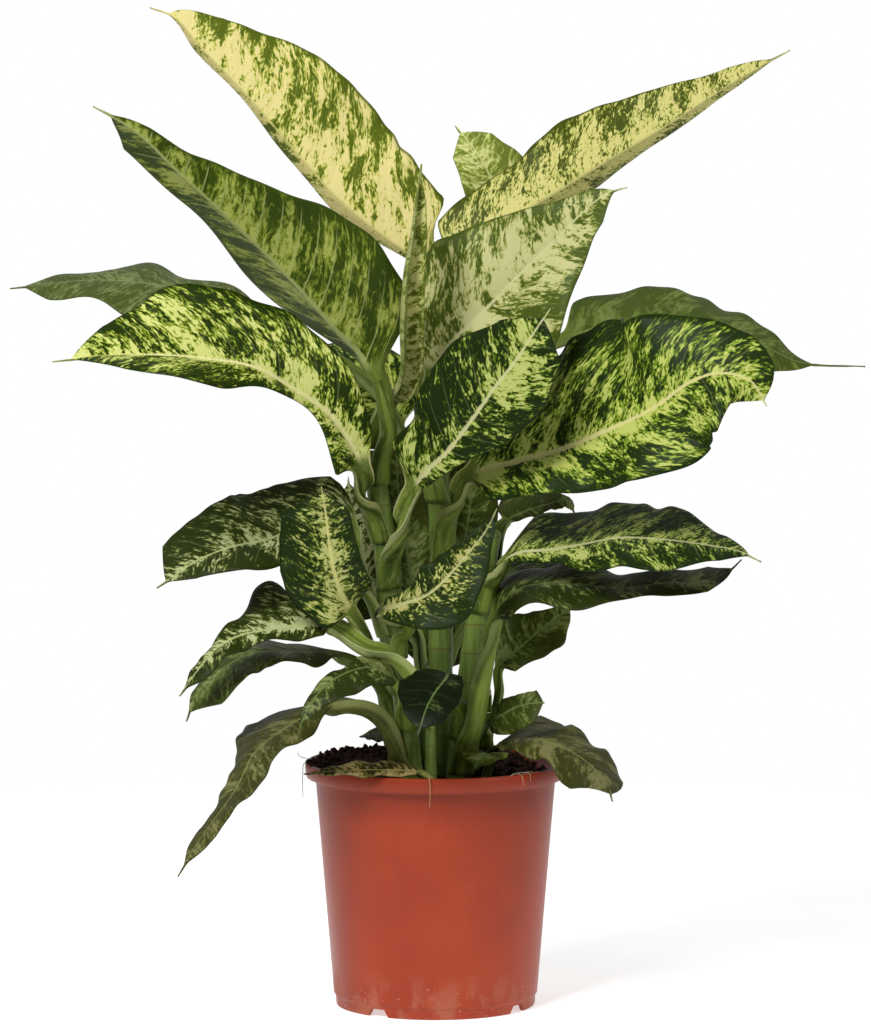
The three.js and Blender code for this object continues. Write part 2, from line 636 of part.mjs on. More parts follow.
function caneGeometry(cane) {
  const line = spine(cane.axis);
  const steps = Math.max(2, Math.round(line.total / CANE_STEP));
  const rows = [];
  for (let i = 0; i <= steps; i += 1) {
    const centre = line.pointAt((line.total * i) / steps);
    const radius = caneRadius(cane, centre.z);
    const row = [];
    for (let k = 0; k < CANE_SIDES; k += 1) {
      const angle = (k * 2 * Math.PI) / CANE_SIDES;
      row.push(new THREE.Vector3(radius * Math.cos(angle), radius * Math.sin(angle), 0).add(centre));
    }
    rows.push(row);
  }
  const faces = [];
  const at = (row, k) => row * CANE_SIDES + (k % CANE_SIDES);
  for (let row = 0; row < steps; row += 1) {
    for (let k = 0; k < CANE_SIDES; k += 1) {
      faces.push(at(row, k), at(row, k + 1), at(row + 1, k + 1));
      faces.push(at(row, k), at(row + 1, k + 1), at(row + 1, k));
    }
  }
  for (let k = 1; k < CANE_SIDES - 1; k += 1) {
    faces.push(at(0, 0), at(0, k + 1), at(0, k));
    faces.push(at(steps, 0), at(steps, k), at(steps, k + 1));
  }
  return meshOf(rows.flat(), faces);
}

function meshOf(points, faces) {
  const geometry = new THREE.BufferGeometry().setFromPoints(points);
  geometry.setIndex(faces);
  geometry.computeVertexNormals();
  return geometry;
}

// Leaves

// Where the sheath sits: the midline's points on the cane, and the way in to the cane's axis.
function sheathLine(leaf) {
  const cane = CANES[leaf.cane];
  const axis = spine(cane.axis);
  const [bottom, top] = leaf.seat;
  const first = new THREE.Vector3(...(leaf.petiole[0] ?? leaf.blade[0]));
  const outward = first.sub(axis.pointAtHeight(top)).setZ(0).normalize();
  const points = [bottom, (bottom + top) / 2, top].map((z) => {
    return axis.pointAtHeight(z).addScaledVector(outward, sheathRadius(cane, z)).toArray();
  });
  return { points, inward: outward.clone().negate(), radius: sheathRadius(cane, (bottom + top) / 2) };
}

// The clasping arc is a polygon of four chords, so it is drawn wider by their sagitta.
function sheathRadius(cane, z) {
  const chord = THREE.MathUtils.degToRad(SHEATH_ANGLE / 4);
  return (caneRadius(cane, z) + SHEATH_CLEARANCE) / Math.cos(chord);
}

// A half's width at a share u of the blade, for a leaf with only its greatest width known.
function plainWidth(half, u) {
  const [rise, fall] = BLADE_SHAPE;
  const widest = rise / (rise + fall);
  const full = (u / widest) ** rise * ((1 - u) / (1 - widest)) ** fall;
  return half * full * (1 - 0.4 * THREE.MathUtils.smoothstep(u, 0.82, 0.98));
}

// The same between five measured widths, on a curve through them; it is round at the base and the tip.
function measuredWidth(widths, u) {
  if (u < 0.1) return widths[0] * Math.sqrt(u / 0.1);
  if (u > 0.9) return widths[4] * ((1 - u) / 0.1) ** 0.8;
  const place = (u - 0.1) / 0.2;
  const first = Math.min(Math.floor(place), 3);
  const near = [first - 1, first, first + 1, first + 2];
  const [a, b, c, d] = near.map((i) => widths[THREE.MathUtils.clamp(i, 0, 4)]);
  const t = place - first;
  return b + 0.5 * t * (c - a + t * (2 * a - 5 * b + 4 * c - d + t * (3 * (b - c) + d - a)));
}

function halfWidth(leaf, side, u) {
  return leaf.edge ? measuredWidth(leaf.edge[side], u) : plainWidth(leaf.half[side], u);
}

// Half a blade's section: a strip that leaves the midrib at lift and bends by curl to its edge.
function halfSection(width, lift, curl, share) {
  const start = THREE.MathUtils.degToRad(lift);
  const bend = THREE.MathUtils.degToRad(curl);
  if (Math.abs(bend) < 1e-3) return [width * share * Math.cos(start), width * share * Math.sin(start)];
  const end = start + bend * share;
  return [
    (width * (Math.sin(end) - Math.sin(start))) / bend,
    (width * (Math.cos(start) - Math.cos(end))) / bend,
  ];
}

function leafGeometry(leaf) {
  const sheath = leaf.seat ? sheathLine(leaf) : null;
  const start = sheath ? sheath.points : [];
  const line = spine([...start, ...leaf.petiole, ...leaf.blade]);
  const sheathEnd = sheath ? line.lengthAt(2) : 0;
  const bladeStart = line.lengthAt(start.length + leaf.petiole.length);
  const bladeLength = line.total - bladeStart;
  const stations = bladeLength > SMALL_BLADE ? BLADE_STATIONS : SMALL_STATIONS;
  const bare = bladeStart - sheathEnd;
  const thread = leaf.thread ?? TIP_THREAD;
  const petioleSteps = bare > 60 ? [0.2, 0.45, 0.7, 0.9] : [0.35, 0.75];
  const lengths = [
    ...(sheath ? [0, sheathEnd / 2, sheathEnd] : [0]),
    ...petioleSteps.map((share) => sheathEnd + share * bare),
    ...stations.map((u) => bladeStart + u * (1 - thread) * bladeLength),
    line.total,
  ];
  const faces = leaf.face.map((vector) => new THREE.Vector3(...vector).normalize());
  const inward = sheath ? sheath.inward : faces[0];

  const middle = lengths.map((length) => {
    const u = THREE.MathUtils.clamp((length - bladeStart) / bladeLength, 0, 1);
    const up = THREE.MathUtils.smoothstep(length, sheathEnd, bladeStart);
    const normal = inward.clone().lerp(faces[0], up).lerp(faces[1], u);
    const tangent = line.tangentAt(length);
    normal.addScaledVector(tangent, -normal.dot(tangent)).normalize();
    const across = tangent.clone().cross(normal);
    const clasp = sheath ? 1 - THREE.MathUtils.smoothstep(length, sheathEnd, sheathEnd + SHEATH_FADE) : 0;
    const flat = THREE.MathUtils.smoothstep(u, 0, 0.1);
    const begun = Math.min(length / Math.max(sheathEnd, 1), 1);
    return { u, clasp, flat, begun, normal, across, centre: line.pointAt(length) };
  });

  const sheet = middle.map(({ u, clasp, flat, begun, normal, across, centre }) =>
    COLUMNS.map((v) => {
      const side = v < 0 ? 0 : 1;
      const sign = v < 0 ? -1 : 1;
      const share = Math.abs(v);
      const stalk = [leaf.stalk * (1 - 0.25 * u) * share, 0.8 * share * share];
      const width = Math.max(halfWidth(leaf, side, Math.min(u / (1 - thread), 1)), 0.6);
      const blade = halfSection(width, leaf.lift[side], leaf.curl[side], share);
      const phase = 2 * Math.PI * (WAVES * u + 0.4 * side);
      const wave = leaf.wave * share * share * Math.sin(Math.PI * u) * Math.sin(phase);
      let x = THREE.MathUtils.lerp(stalk[0], blade[0], flat);
      let h = THREE.MathUtils.lerp(stalk[1], blade[1] + wave, flat);
      if (clasp > 0) {
        const angle = THREE.MathUtils.degToRad(SHEATH_ANGLE * (1 - SHEATH_TAPER * begun)) * share;
        x = THREE.MathUtils.lerp(x, sheath.radius * Math.sin(angle), clasp);
        h = THREE.MathUtils.lerp(h, sheath.radius * (1 - Math.cos(angle)), clasp);
      }
      return centre.clone().addScaledVector(across, sign * x).addScaledVector(normal, h);
    }),
  );

  const upper = [];
  const lower = [];
  sheet.forEach((row, r) => {
    const { u, clasp, flat, begun } = middle[r];
    const before = sheet[Math.max(r - 1, 0)];
    const after = sheet[Math.min(r + 1, sheet.length - 1)];
    row.forEach((point, c) => {
      const right = row[Math.min(c + 1, row.length - 1)].clone().sub(row[Math.max(c - 1, 0)]);
      const normal = right.cross(after[c].clone().sub(before[c])).normalize();
      const round = Math.sqrt(1 - COLUMNS[c] ** 2);
      const stalkDepth = 0.8 + STALK_DEPTH * leaf.stalk * round * (1 - 0.3 * u);
      const rib = c === 2 ? 1.4 * (1 - u) ** 2 : 0;
      const claspDepth = SHEATH_THIN + SHEATH_THICK * leaf.stalk * round * begun;
      let depth = THREE.MathUtils.lerp(stalkDepth, BLADE_HALF_THICKNESS + rib, flat);
      depth = THREE.MathUtils.lerp(depth, claspDepth, clasp);
      upper.push(point.clone().addScaledVector(normal, BLADE_HALF_THICKNESS * flat));
      lower.push(point.clone().addScaledVector(normal, -depth));
    });
  });
  return sheetGeometry(upper, lower, sheet.length, COLUMNS.length);
}

// Two like grids of points joined round their edges; both are split along the same diagonals.
function sheetGeometry(upper, lower, rows, columns) {
  const faces = [];
  const up = (r, c) => r * columns + c;
  const down = (r, c) => rows * columns + r * columns + c;
  const quad = (a, b, c, d) => faces.push(a, b, c, a, c, d);
  for (let r = 0; r < rows - 1; r += 1) {
    for (let c = 0; c < columns - 1; c += 1) {
      quad(up(r, c), up(r, c + 1), up(r + 1, c + 1), up(r + 1, c));
      faces.push(down(r, c), down(r + 1, c + 1), down(r, c + 1));
      faces.push(down(r, c), down(r + 1, c), down(r + 1, c + 1));
    }
    quad(up(r, 0), up(r + 1, 0), down(r + 1, 0), down(r, 0));
    const last = columns - 1;
    quad(up(r + 1, last), up(r, last), down(r, last), down(r + 1, last));
  }
  for (let c = 0; c < columns - 1; c += 1) {
    quad(up(0, c + 1), up(0, c), down(0, c), down(0, c + 1));
    quad(up(rows - 1, c), up(rows - 1, c + 1), down(rows - 1, c + 1), down(rows - 1, c));
  }
  return meshOf([...upper, ...lower], faces);
}

// Assembly

function named(name, geometry, look) {
  const mesh = new THREE.Mesh(geometry, new THREE.MeshStandardMaterial(look));
  mesh.name = name;
  return mesh;
}

const plant = new THREE.Group();
plant.add(named("pot", potGeometry(), TERRACOTTA));
plant.add(named("soil", soilGeometry(), SOIL_DARK));
for (const [name, cane] of Object.entries(CANES)) {
  plant.add(named(`cane_${name}`, caneGeometry(cane), CANE_GREEN));
}
for (const leaf of LEAVES) plant.add(named(`leaf_${leaf.name}`, leafGeometry(leaf), leaf.look));

export default plant;
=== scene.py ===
# %% [markdown]
# # A dieffenbachia in a plastic nursery pot
# The plant is a house plant with large marbled leaves on upright canes. Its measured model is
# already made: a pot, the soil, seven canes and thirty-seven leaves, all coarse. A reader could
# start from nothing in Blender, but then the pot and the leaves would have no real size. So the
# measured model is loaded first as a fixed frame, and every fine piece is made in the same
# place.

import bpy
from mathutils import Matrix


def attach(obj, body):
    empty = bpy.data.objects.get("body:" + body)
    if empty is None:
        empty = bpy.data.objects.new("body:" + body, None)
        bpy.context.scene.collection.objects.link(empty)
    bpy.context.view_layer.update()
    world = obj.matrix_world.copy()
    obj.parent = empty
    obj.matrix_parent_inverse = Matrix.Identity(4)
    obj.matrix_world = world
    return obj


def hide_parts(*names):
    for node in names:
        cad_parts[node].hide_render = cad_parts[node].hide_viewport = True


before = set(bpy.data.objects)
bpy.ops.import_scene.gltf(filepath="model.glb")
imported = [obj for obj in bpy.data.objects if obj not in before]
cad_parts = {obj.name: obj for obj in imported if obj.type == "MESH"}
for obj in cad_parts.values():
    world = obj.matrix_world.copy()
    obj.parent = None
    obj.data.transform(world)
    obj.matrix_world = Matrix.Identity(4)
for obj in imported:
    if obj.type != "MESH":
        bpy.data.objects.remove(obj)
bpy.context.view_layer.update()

# %% [markdown]
# ## The measuring stick
# A grower measures leaves and pots in millimetres, and Blender works in metres. All the plant's
# lists are kept in millimetres, as on a drawing, and multiplied by MM once, where points are
# made.

# %% Libraries and the unit
import math

import bpy
import mathutils
import numpy as np

MM = 0.001
PIECES = []


def fade(value, low, high):
    """0 below low, 1 above high, with a soft turn at both ends."""
    share = np.clip((value - low) / (high - low), 0, 1)
    return share * share * (3 - 2 * share)


print("one millimetre is", MM, "of Blender's units")

# %% [markdown]
# ## Turning lists of points into pieces
# Every piece below is a mesh that is worked out point by point. Blender could also grow leaves
# with curves and modifiers, but a mesh made from numbers keeps each leaf exactly where its
# measured solid stands. One helper turns points and faces into an object, notes extra values on
# its points for the materials to read, says that it rides on the plant's one body, and hides
# the solids that it stands for.

# %% A helper that makes a piece
def make_piece(name, points, faces, materials, stands_for=(), faces_worn=None, notes=None):
    mesh = bpy.data.meshes.new(name)
    mesh.from_pydata(np.asarray(points).tolist(), [], [list(map(int, face)) for face in faces])
    for material in materials:
        mesh.materials.append(material)
    if faces_worn is not None:
        mesh.polygons.foreach_set("material_index", np.asarray(faces_worn, dtype=np.int32))
    for label, values in (notes or {}).items():
        layer = mesh.attributes.new(label, "FLOAT_VECTOR", "POINT")
        layer.data.foreach_set("vector", np.asarray(values, dtype=np.float32).ravel())
    mesh.polygons.foreach_set("use_smooth", np.ones(len(mesh.polygons), dtype=bool))
    mesh.update()
    piece = bpy.data.objects.new(name, mesh)
    bpy.context.scene.collection.objects.link(piece)
    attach(piece, "root")
    if stands_for:
        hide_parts(*stands_for)
    PIECES.append(piece)
    return piece


# %% [markdown]
# ## A smooth line through a few points
# A midrib, a stem or a root thread is drawn as a handful of points. A centripetal Catmull-Rom
# curve passes through all of them without loops or overshoot, which a plain Bezier with
# automatic handles doesn't promise. It is the same curve that the measured solids follow, so
# the fine leaves lie inside them.

# %% The line helper
LINE_STEPS = 48


def smooth_line(points):
    """Samples along the curve, and the length run at each of them, in metres."""
    place = np.array(points, dtype=float) * MM
    place = np.vstack([2 * place[0] - place[1], place, 2 * place[-1] - place[-2]])
    samples = []
    for before, here, there, after in zip(place, place[1:], place[2:], place[3:]):
        first, middle, last = (
            max(np.linalg.norm(b - a) ** 0.5, 1e-6)
            for a, b in ((before, here), (here, there), (there, after))
        )
        leave = (here - before) / first - (there - before) / (first + middle) + (there - here) / middle
        arrive = (there - here) / middle - (after - here) / (middle + last) + (after - there) / last
        leave, arrive = leave * middle, arrive * middle
        for t in np.arange(LINE_STEPS) / LINE_STEPS:
            samples.append(
                (2 * t**3 - 3 * t**2 + 1) * here
                + (t**3 - 2 * t**2 + t) * leave
                + (3 * t**2 - 2 * t**3) * there
                + (t**3 - t**2) * arrive
            )
    samples.append(place[-2])
    samples = np.array(samples)
    steps = np.linalg.norm(np.diff(samples, axis=0), axis=1)
    return samples, np.concatenate([[0], np.cumsum(steps)])


def on_line(line, length):
    """The points at the given lengths along a line."""
    samples, run = line
    return np.stack([np.interp(length, run, samples[:, axis]) for axis in range(3)], axis=-1)


def heading(line, length, reach=3 * MM):
    """The direction of a line at the given lengths, averaged over a few millimetres."""
    ahead = on_line(line, np.minimum(length + reach, line[1][-1]))
    way = ahead - on_line(line, np.maximum(length - reach, 0))
    return way / np.linalg.norm(way, axis=-1, keepdims=True)


print("a curve has", LINE_STEPS, "samples between two drawn points")

# %% [markdown]
# ## Walls between rings
# The pot, the canes and the root threads are all rings of points joined to the next ring. One
# helper gives a ring's points. The other numbers the faces of such a tube once, with the ends
# closed, so that no piece is left open.

# %% The ring helpers
def ring_points(sides):
    """Points evenly round the upright axis, one unit away from it."""
    angle = np.arange(sides) * 2 * math.pi / sides
    return np.stack([np.cos(angle), np.sin(angle), np.zeros(sides)], axis=-1)


def ring_faces(rings, sides):
    """Faces that join rings of points, in order, each with the same number of sides."""
    faces = []
    for ring in range(rings - 1):
        for side in range(sides):
            a = ring * sides + side
            b = ring * sides + (side + 1) % sides
            faces.append((a, b, b + sides, a + sides))
    faces.append(tuple(range(sides - 1, -1, -1)))
    faces.append(tuple((rings - 1) * sides + side for side in range(sides)))
    return faces


print("a tube of 3 rings with 8 sides has", len(ring_faces(3, 8)), "faces")

# %% [markdown]
# ## Painting with nodes
# No picture is used anywhere: each finish is worked out from noise and from the values noted on
# the points. Node trees get long when every node is made by hand, so a few short helpers stand
# for the nodes that are used most: arithmetic, noise, a soft threshold and a blend of two
# colours.

# %% Paints and plain finishes
def paint(red, green, blue):
    """A colour as read from a screen, 0 to 255, as the linear colour that shaders need."""
    shares = [level / 255 for level in (red, green, blue)]
    linear = [((c + 0.055) / 1.055) ** 2.4 if c > 0.04 else c / 12.92 for c in shares]
    return (*linear, 1.0)


def new_finish(name, roughness=0.5, specular=0.5):
    """A material, its tree and its shader. Values that are even all over go on the shader itself."""
    material = bpy.data.materials.new(name)
    material.use_nodes = True
    shader = material.node_tree.nodes["Principled BSDF"]
    shader.inputs["Roughness"].default_value = roughness
    shader.inputs["Specular IOR Level"].default_value = specular
    return material, material.node_tree, shader


print("the colour of the pot, linear:", [round(c, 3) for c in paint(172, 74, 50)])

# %% Arithmetic and blending
def feed(tree, socket, value):
    """Links a node's output to a socket, or sets the socket to a plain value."""
    if isinstance(value, bpy.types.NodeSocket):
        tree.links.new(value, socket)
    else:
        socket.default_value = value


def sum_up(tree, operation, a, b=0.0, c=0.0):
    node = tree.nodes.new("ShaderNodeMath")
    node.operation = operation
    for socket, value in zip(node.inputs, (a, b, c)):
        feed(tree, socket, value)
    return node.outputs[0]


def soft_step(tree, value, low, high, start=0.0, end=1.0):
    node = tree.nodes.new("ShaderNodeMapRange")
    node.interpolation_type = "SMOOTHSTEP"
    settings = {"Value": value, "From Min": low, "From Max": high, "To Min": start, "To Max": end}
    for label, number in settings.items():
        feed(tree, node.inputs[label], number)
    return node.outputs["Result"]


def blend(tree, share, a, b):
    node = tree.nodes.new("ShaderNodeMix")
    node.data_type = "RGBA"
    feed(tree, node.inputs[0], share)
    feed(tree, node.inputs[6], a)
    feed(tree, node.inputs[7], b)
    return node.outputs[2]


print("a maths node takes up to three values, as in a * b + c")

# %% [markdown]
# ### Where a finish reads its noise
# Noise is worked out from a place: the place on the object, or one that is noted on the points,
# such as along a leaf's veins. Multiplying the place along one axis draws the noise out along
# the others, so the same noise gives clouds, streaks or flecks. The last helper turns such
# noise into a relief that only the light sees.

# %% Noise and places
def object_place(tree):
    node = tree.nodes.new("ShaderNodeTexCoord")
    return node.outputs["Object"]


def noise(tree, place, scale, detail=3.0, roughness=0.55):
    node = tree.nodes.new("ShaderNodeTexNoise")
    feed(tree, node.inputs["Vector"], place)
    node.inputs["Scale"].default_value = scale
    node.inputs["Detail"].default_value = detail
    node.inputs["Roughness"].default_value = roughness
    return node.outputs["Fac"]


def stretch(tree, place, factors):
    """The place multiplied along each axis, so that noise read there comes out drawn out."""
    node = tree.nodes.new("ShaderNodeVectorMath")
    node.operation = "MULTIPLY"
    feed(tree, node.inputs[0], place)
    node.inputs[1].default_value = factors
    return node.outputs[0]


def parts_of(tree, vector):
    node = tree.nodes.new("ShaderNodeSeparateXYZ")
    tree.links.new(vector, node.inputs[0])
    return node.outputs


def noted(tree, label):
    """The values noted on the points, as a vector and as its three parts."""
    node = tree.nodes.new("ShaderNodeAttribute")
    node.attribute_name = label
    return node.outputs["Vector"], parts_of(tree, node.outputs["Vector"])


def emboss(tree, shader, height, depth, strength=1.0):
    """Bump from a height between 0 and 1, with its full depth in metres."""
    node = tree.nodes.new("ShaderNodeBump")
    node.inputs["Distance"].default_value = depth
    node.inputs["Strength"].default_value = strength
    feed(tree, node.inputs["Height"], height)
    tree.links.new(node.outputs["Normal"], shader.inputs["Normal"])


print("noise with a scale of 500 has grains about", 1 / 500 / MM, "mm wide")

# %% [markdown]
# ## The pot
# A nursery pot is moulded in one shot: a thin tapered wall, a rim band that stiffens its mouth,
# and a foot ring with trapezoid notches that let water run away. A pot could be turned with the
# Spin tool and a Screw modifier; here its profile is a list of radius and height, turned round
# the axis, because the sizes must be the measured ones. The notches and drain holes are cut
# afterwards, as the mould does, with a boolean.

# %% Turn the pot's profile
POT_HEIGHT, RIM_RADIUS, RIM_BAND = 159, 85, 10
SHOULDER_RADIUS, BASE_RADIUS, FOOT_RADIUS = 78, 66.5, 65
FOOT_HEIGHT, FOOT_WIDTH, POT_WALL = 7, 3, 1.6
POT_SIDES = 144

shoulder = POT_HEIGHT - RIM_BAND
inner = SHOULDER_RADIUS - POT_WALL
floor_top = FOOT_HEIGHT + POT_WALL
wall_radii = np.linspace(BASE_RADIUS, SHOULDER_RADIUS, 14)
wall = list(zip(wall_radii, np.linspace(FOOT_HEIGHT + 1.4, shoulder - 2, 14)))
POT_PROFILE = [
    *((radius, FOOT_HEIGHT) for radius in (0.01, 20, 32, 44, 56)),
    (FOOT_RADIUS - FOOT_WIDTH - 0.4, FOOT_HEIGHT),
    (FOOT_RADIUS - FOOT_WIDTH, FOOT_HEIGHT - 0.5),
    (FOOT_RADIUS - FOOT_WIDTH, 0.4),
    (FOOT_RADIUS - FOOT_WIDTH + 0.4, 0),
    (FOOT_RADIUS - 0.6, 0),
    (FOOT_RADIUS - 0.15, 0.3),
    (FOOT_RADIUS, 0.9),
    (FOOT_RADIUS + 0.25, FOOT_HEIGHT - 1),
    (FOOT_RADIUS + 0.5, FOOT_HEIGHT - 0.2),
    (BASE_RADIUS - 0.4, FOOT_HEIGHT + 0.3),
    (BASE_RADIUS - 0.05, FOOT_HEIGHT + 0.8),
    *wall,
    (SHOULDER_RADIUS + 0.1, shoulder - 1),
    (SHOULDER_RADIUS + 0.5, shoulder - 0.3),
    (SHOULDER_RADIUS + 1.6, shoulder),
    (RIM_RADIUS - 2.2, shoulder + 0.1),
    (RIM_RADIUS - 1.1, shoulder + 0.5),
    (RIM_RADIUS - 0.7, shoulder + 1.4),
    (RIM_RADIUS - 0.2, shoulder + 4),
    (RIM_RADIUS, POT_HEIGHT - 1.4),
    (RIM_RADIUS - 0.25, POT_HEIGHT - 0.5),
    (RIM_RADIUS - 1, POT_HEIGHT),
    (RIM_RADIUS - 2.2, POT_HEIGHT),
    (RIM_RADIUS - 2.9, POT_HEIGHT - 0.6),
    (RIM_RADIUS - 3.3, POT_HEIGHT - 3),
    (inner + 1, shoulder + 1.2),
    (inner, shoulder - 1),
    (BASE_RADIUS - POT_WALL, floor_top + 1),
    (BASE_RADIUS - POT_WALL - 1, floor_top),
    (44, floor_top),
    (32, floor_top),
    (0.01, floor_top),
]


def turned(profile, sides):
    """Rings of points: each radius and height of the profile, turned round the upright axis."""
    rings = [ring_points(sides) * radius + (0, 0, height) for radius, height in profile]
    return np.concatenate(rings) * MM


print("the pot's profile has", len(POT_PROFILE), "points")

# %% [markdown]
# ### Terracotta-coloured plastic
# The pot is polypropylene in a brick colour. It has a satin surface that mirrors the bright
# room softly, most at its left and right edges, and it is not quite clean: dusty water has
# dried above the foot, and the wall carries faint upright streaks from moulding. The band at
# the mouth and the wall just under it are painted darker with height, partly for moist soil and
# partly as painted shade from the leaves above. Plain noise gives the clouding; noise drawn out
# along the height gives the streaks; the height itself says where the dust, the moist soil and
# the painted shade are.

# %% The pot's finish
DUST_HEIGHTS = (8 * MM, 34 * MM)
DAMP_AND_SHADE_HEIGHTS = (122 * MM, 142 * MM)
SMEAR_HEIGHTS = (112 * MM, 146 * MM)


def pot_finish():
    material, tree, shader = new_finish("satin_terracotta_plastic", roughness=0.4, specular=0.22)
    place = object_place(tree)
    height = parts_of(tree, place)["Z"]
    cloud = noise(tree, place, 14, 3)
    streaks = noise(tree, stretch(tree, place, (90, 90, 3.5)), 1, 2)
    grain = noise(tree, place, 900, 2)
    colour = blend(tree, soft_step(tree, cloud, 0.35, 0.65), paint(138, 48, 22), paint(148, 54, 26))
    colour = blend(tree, soft_step(tree, streaks, 0.45, 0.8, 0, 0.25), colour, paint(130, 44, 20))
    low = soft_step(tree, height, *DUST_HEIGHTS, 1, 0)
    dust = soft_step(tree, noise(tree, stretch(tree, place, (60, 60, 30)), 1, 4), 0.46, 0.62)
    dust = sum_up(tree, "MULTIPLY", dust, sum_up(tree, "MULTIPLY", low, 0.5))
    colour = blend(tree, dust, colour, paint(156, 98, 76))
    specks = soft_step(tree, noise(tree, place, 420, 2), 0.66, 0.72)
    specks = sum_up(tree, "MULTIPLY", specks, sum_up(tree, "MULTIPLY_ADD", low, 0.55, 0.05))
    colour = blend(tree, specks, colour, paint(172, 128, 108))
    # Painted shade and moist soil: the band and the wall under it darken with height.
    damp_and_leaf_shade = soft_step(tree, height, *DAMP_AND_SHADE_HEIGHTS, 0, 0.5)
    colour = blend(tree, damp_and_leaf_shade, colour, paint(108, 36, 18))
    smear = soft_step(tree, noise(tree, stretch(tree, place, (26, 26, 14)), 1, 3), 0.55, 0.72)
    smear = sum_up(tree, "MULTIPLY", smear, soft_step(tree, height, *SMEAR_HEIGHTS, 0, 0.5))
    colour = blend(tree, smear, colour, paint(160, 54, 30))
    tree.links.new(colour, shader.inputs["Base Color"])
    wear = sum_up(tree, "MULTIPLY_ADD", cloud, 0.16, 0.27)
    tree.links.new(sum_up(tree, "MULTIPLY_ADD", dust, 0.5, wear), shader.inputs["Roughness"])
    emboss(tree, shader, sum_up(tree, "MULTIPLY_ADD", streaks, 0.6, grain), 0.12 * MM, 0.5)
    return material


POT_FINISH = pot_finish()
print("finish made:", POT_FINISH.name)

# %% [markdown]
# ### Cutting the notches and drain holes
# Each cutter is a small block that reaches through the foot ring, and each drain is a plug
# through the floor. They are joined into one cutter and taken away in one boolean, which is
# applied, so the pot is a plain mesh.

# %% Make the pot
NOTCH_AZIMUTHS = (-125, -35, 55, 145)
NOTCH_TOP, NOTCH_BOTTOM, NOTCH_HEIGHT = 10, 17, 5
DRAINS, DRAIN_RADIUS, DRAIN_CIRCLE = 6, 4, 38
DRAIN_SIDES = 24
SHARP_ANGLE = math.radians(40)


def notch_block(azimuth):
    """Eight corners of a block that is wider at the bottom, lying across the foot ring."""
    near, far = DRAIN_CIRCLE + 12, FOOT_RADIUS + 6
    wide, narrow = NOTCH_BOTTOM / 2, NOTCH_TOP / 2
    outline = ((-wide, -1), (wide, -1), (narrow, NOTCH_HEIGHT), (-narrow, NOTCH_HEIGHT))
    turn = math.radians(azimuth)
    out = np.array([math.cos(turn), math.sin(turn), 0])
    side = np.array([-math.sin(turn), math.cos(turn), 0])
    corners = [out * reach + side * x + (0, 0, z) for reach in (near, far) for x, z in outline]
    return np.array(corners) * MM


def pot_cutter():
    points, faces = [], []
    for azimuth in NOTCH_AZIMUTHS:
        start = len(points)
        points.extend(notch_block(azimuth))
        faces.extend(tuple(start + i for i in face) for face in ring_faces(2, 4))
    for i in range(DRAINS):
        start = len(points)
        turn = 2 * math.pi * i / DRAINS
        middle = np.array([math.cos(turn), math.sin(turn), 0]) * DRAIN_CIRCLE * MM
        plug = turned([(DRAIN_RADIUS, FOOT_HEIGHT - 2), (DRAIN_RADIUS, floor_top + 2)], DRAIN_SIDES)
        points.extend(plug + middle)
        faces.extend(tuple(start + i for i in face) for face in ring_faces(2, DRAIN_SIDES))
    mesh = bpy.data.meshes.new("cutter")
    mesh.from_pydata(np.array(points).tolist(), [], faces)
    cutter = bpy.data.objects.new("cutter", mesh)
    bpy.context.scene.collection.objects.link(cutter)
    return cutter


def apply_modifiers(piece):
    graph = bpy.context.evaluated_depsgraph_get()
    final = bpy.data.meshes.new_from_object(piece.evaluated_get(graph))
    piece.modifiers.clear()
    piece.data = final


pot = make_piece(
    "pot_shell", turned(POT_PROFILE, POT_SIDES), ring_faces(len(POT_PROFILE), POT_SIDES), [POT_FINISH],
    stands_for=["pot"],
)
cutter = pot_cutter()
cut = pot.modifiers.new("notches", "BOOLEAN")
cut.operation, cut.object, cut.solver = "DIFFERENCE", cutter, "EXACT"
apply_modifiers(pot)
bpy.data.objects.remove(cutter)
pot.data.polygons.foreach_set("use_smooth", np.ones(len(pot.data.polygons), dtype=bool))
pot.data.set_sharp_from_angle(angle=SHARP_ANGLE)
print("pot faces:", len(pot.data.polygons))

# %% [markdown]
# ## The soil
# Potting soil is dark peat with bits of bark, heaped a little behind the stems. A flat disc
# with a bump map looks painted on from the side, where the rim lets one see across it. So the
# top is a fine grid that is lifted by layered waves, and about a thousand loose crumbs, each a
# small uneven lump, lie on it.

# %% The soil's finish
def soil_finish():
    material, tree, shader = new_finish("dark_potting_soil", roughness=0.95, specular=0.2)
    place = object_place(tree)
    grain = noise(tree, place, 260, 4, 0.7)
    lumps = noise(tree, place, 70, 3)
    colour = blend(tree, soft_step(tree, grain, 0.36, 0.66), paint(24, 13, 10), paint(66, 40, 30))
    bark = soft_step(tree, lumps, 0.58, 0.68, 0, 0.55)
    colour = blend(tree, bark, colour, paint(92, 52, 36))
    pale_bits = soft_step(tree, noise(tree, place, 520, 2), 0.7, 0.74, 0, 0.5)
    colour = blend(tree, pale_bits, colour, paint(150, 128, 104))
    tree.links.new(colour, shader.inputs["Base Color"])
    emboss(tree, shader, grain, 1.2 * MM, 0.8)
    return material


SOIL_FINISH = soil_finish()
print("finish made:", SOIL_FINISH.name)

# %% [markdown]
# ### The heap and its crumbs
# The heap follows the measured solid: low in front of the stems and up to the rim behind them.
# Finer waves are added on top. Crumbs are placed by a seeded random number maker, so that every
# run gives the same soil.

# %% The soil's surface
SOIL_EDGE, SOIL_MOUND, SOIL_BUMP = 149, 11.5, 1.4
SOIL_HEAP, SOIL_RIM = (-4, 42), (67, 75)
SOIL_FOOT = (64.5, 9.4)
SOIL_RINGS, SOIL_SIDES = 44, 132


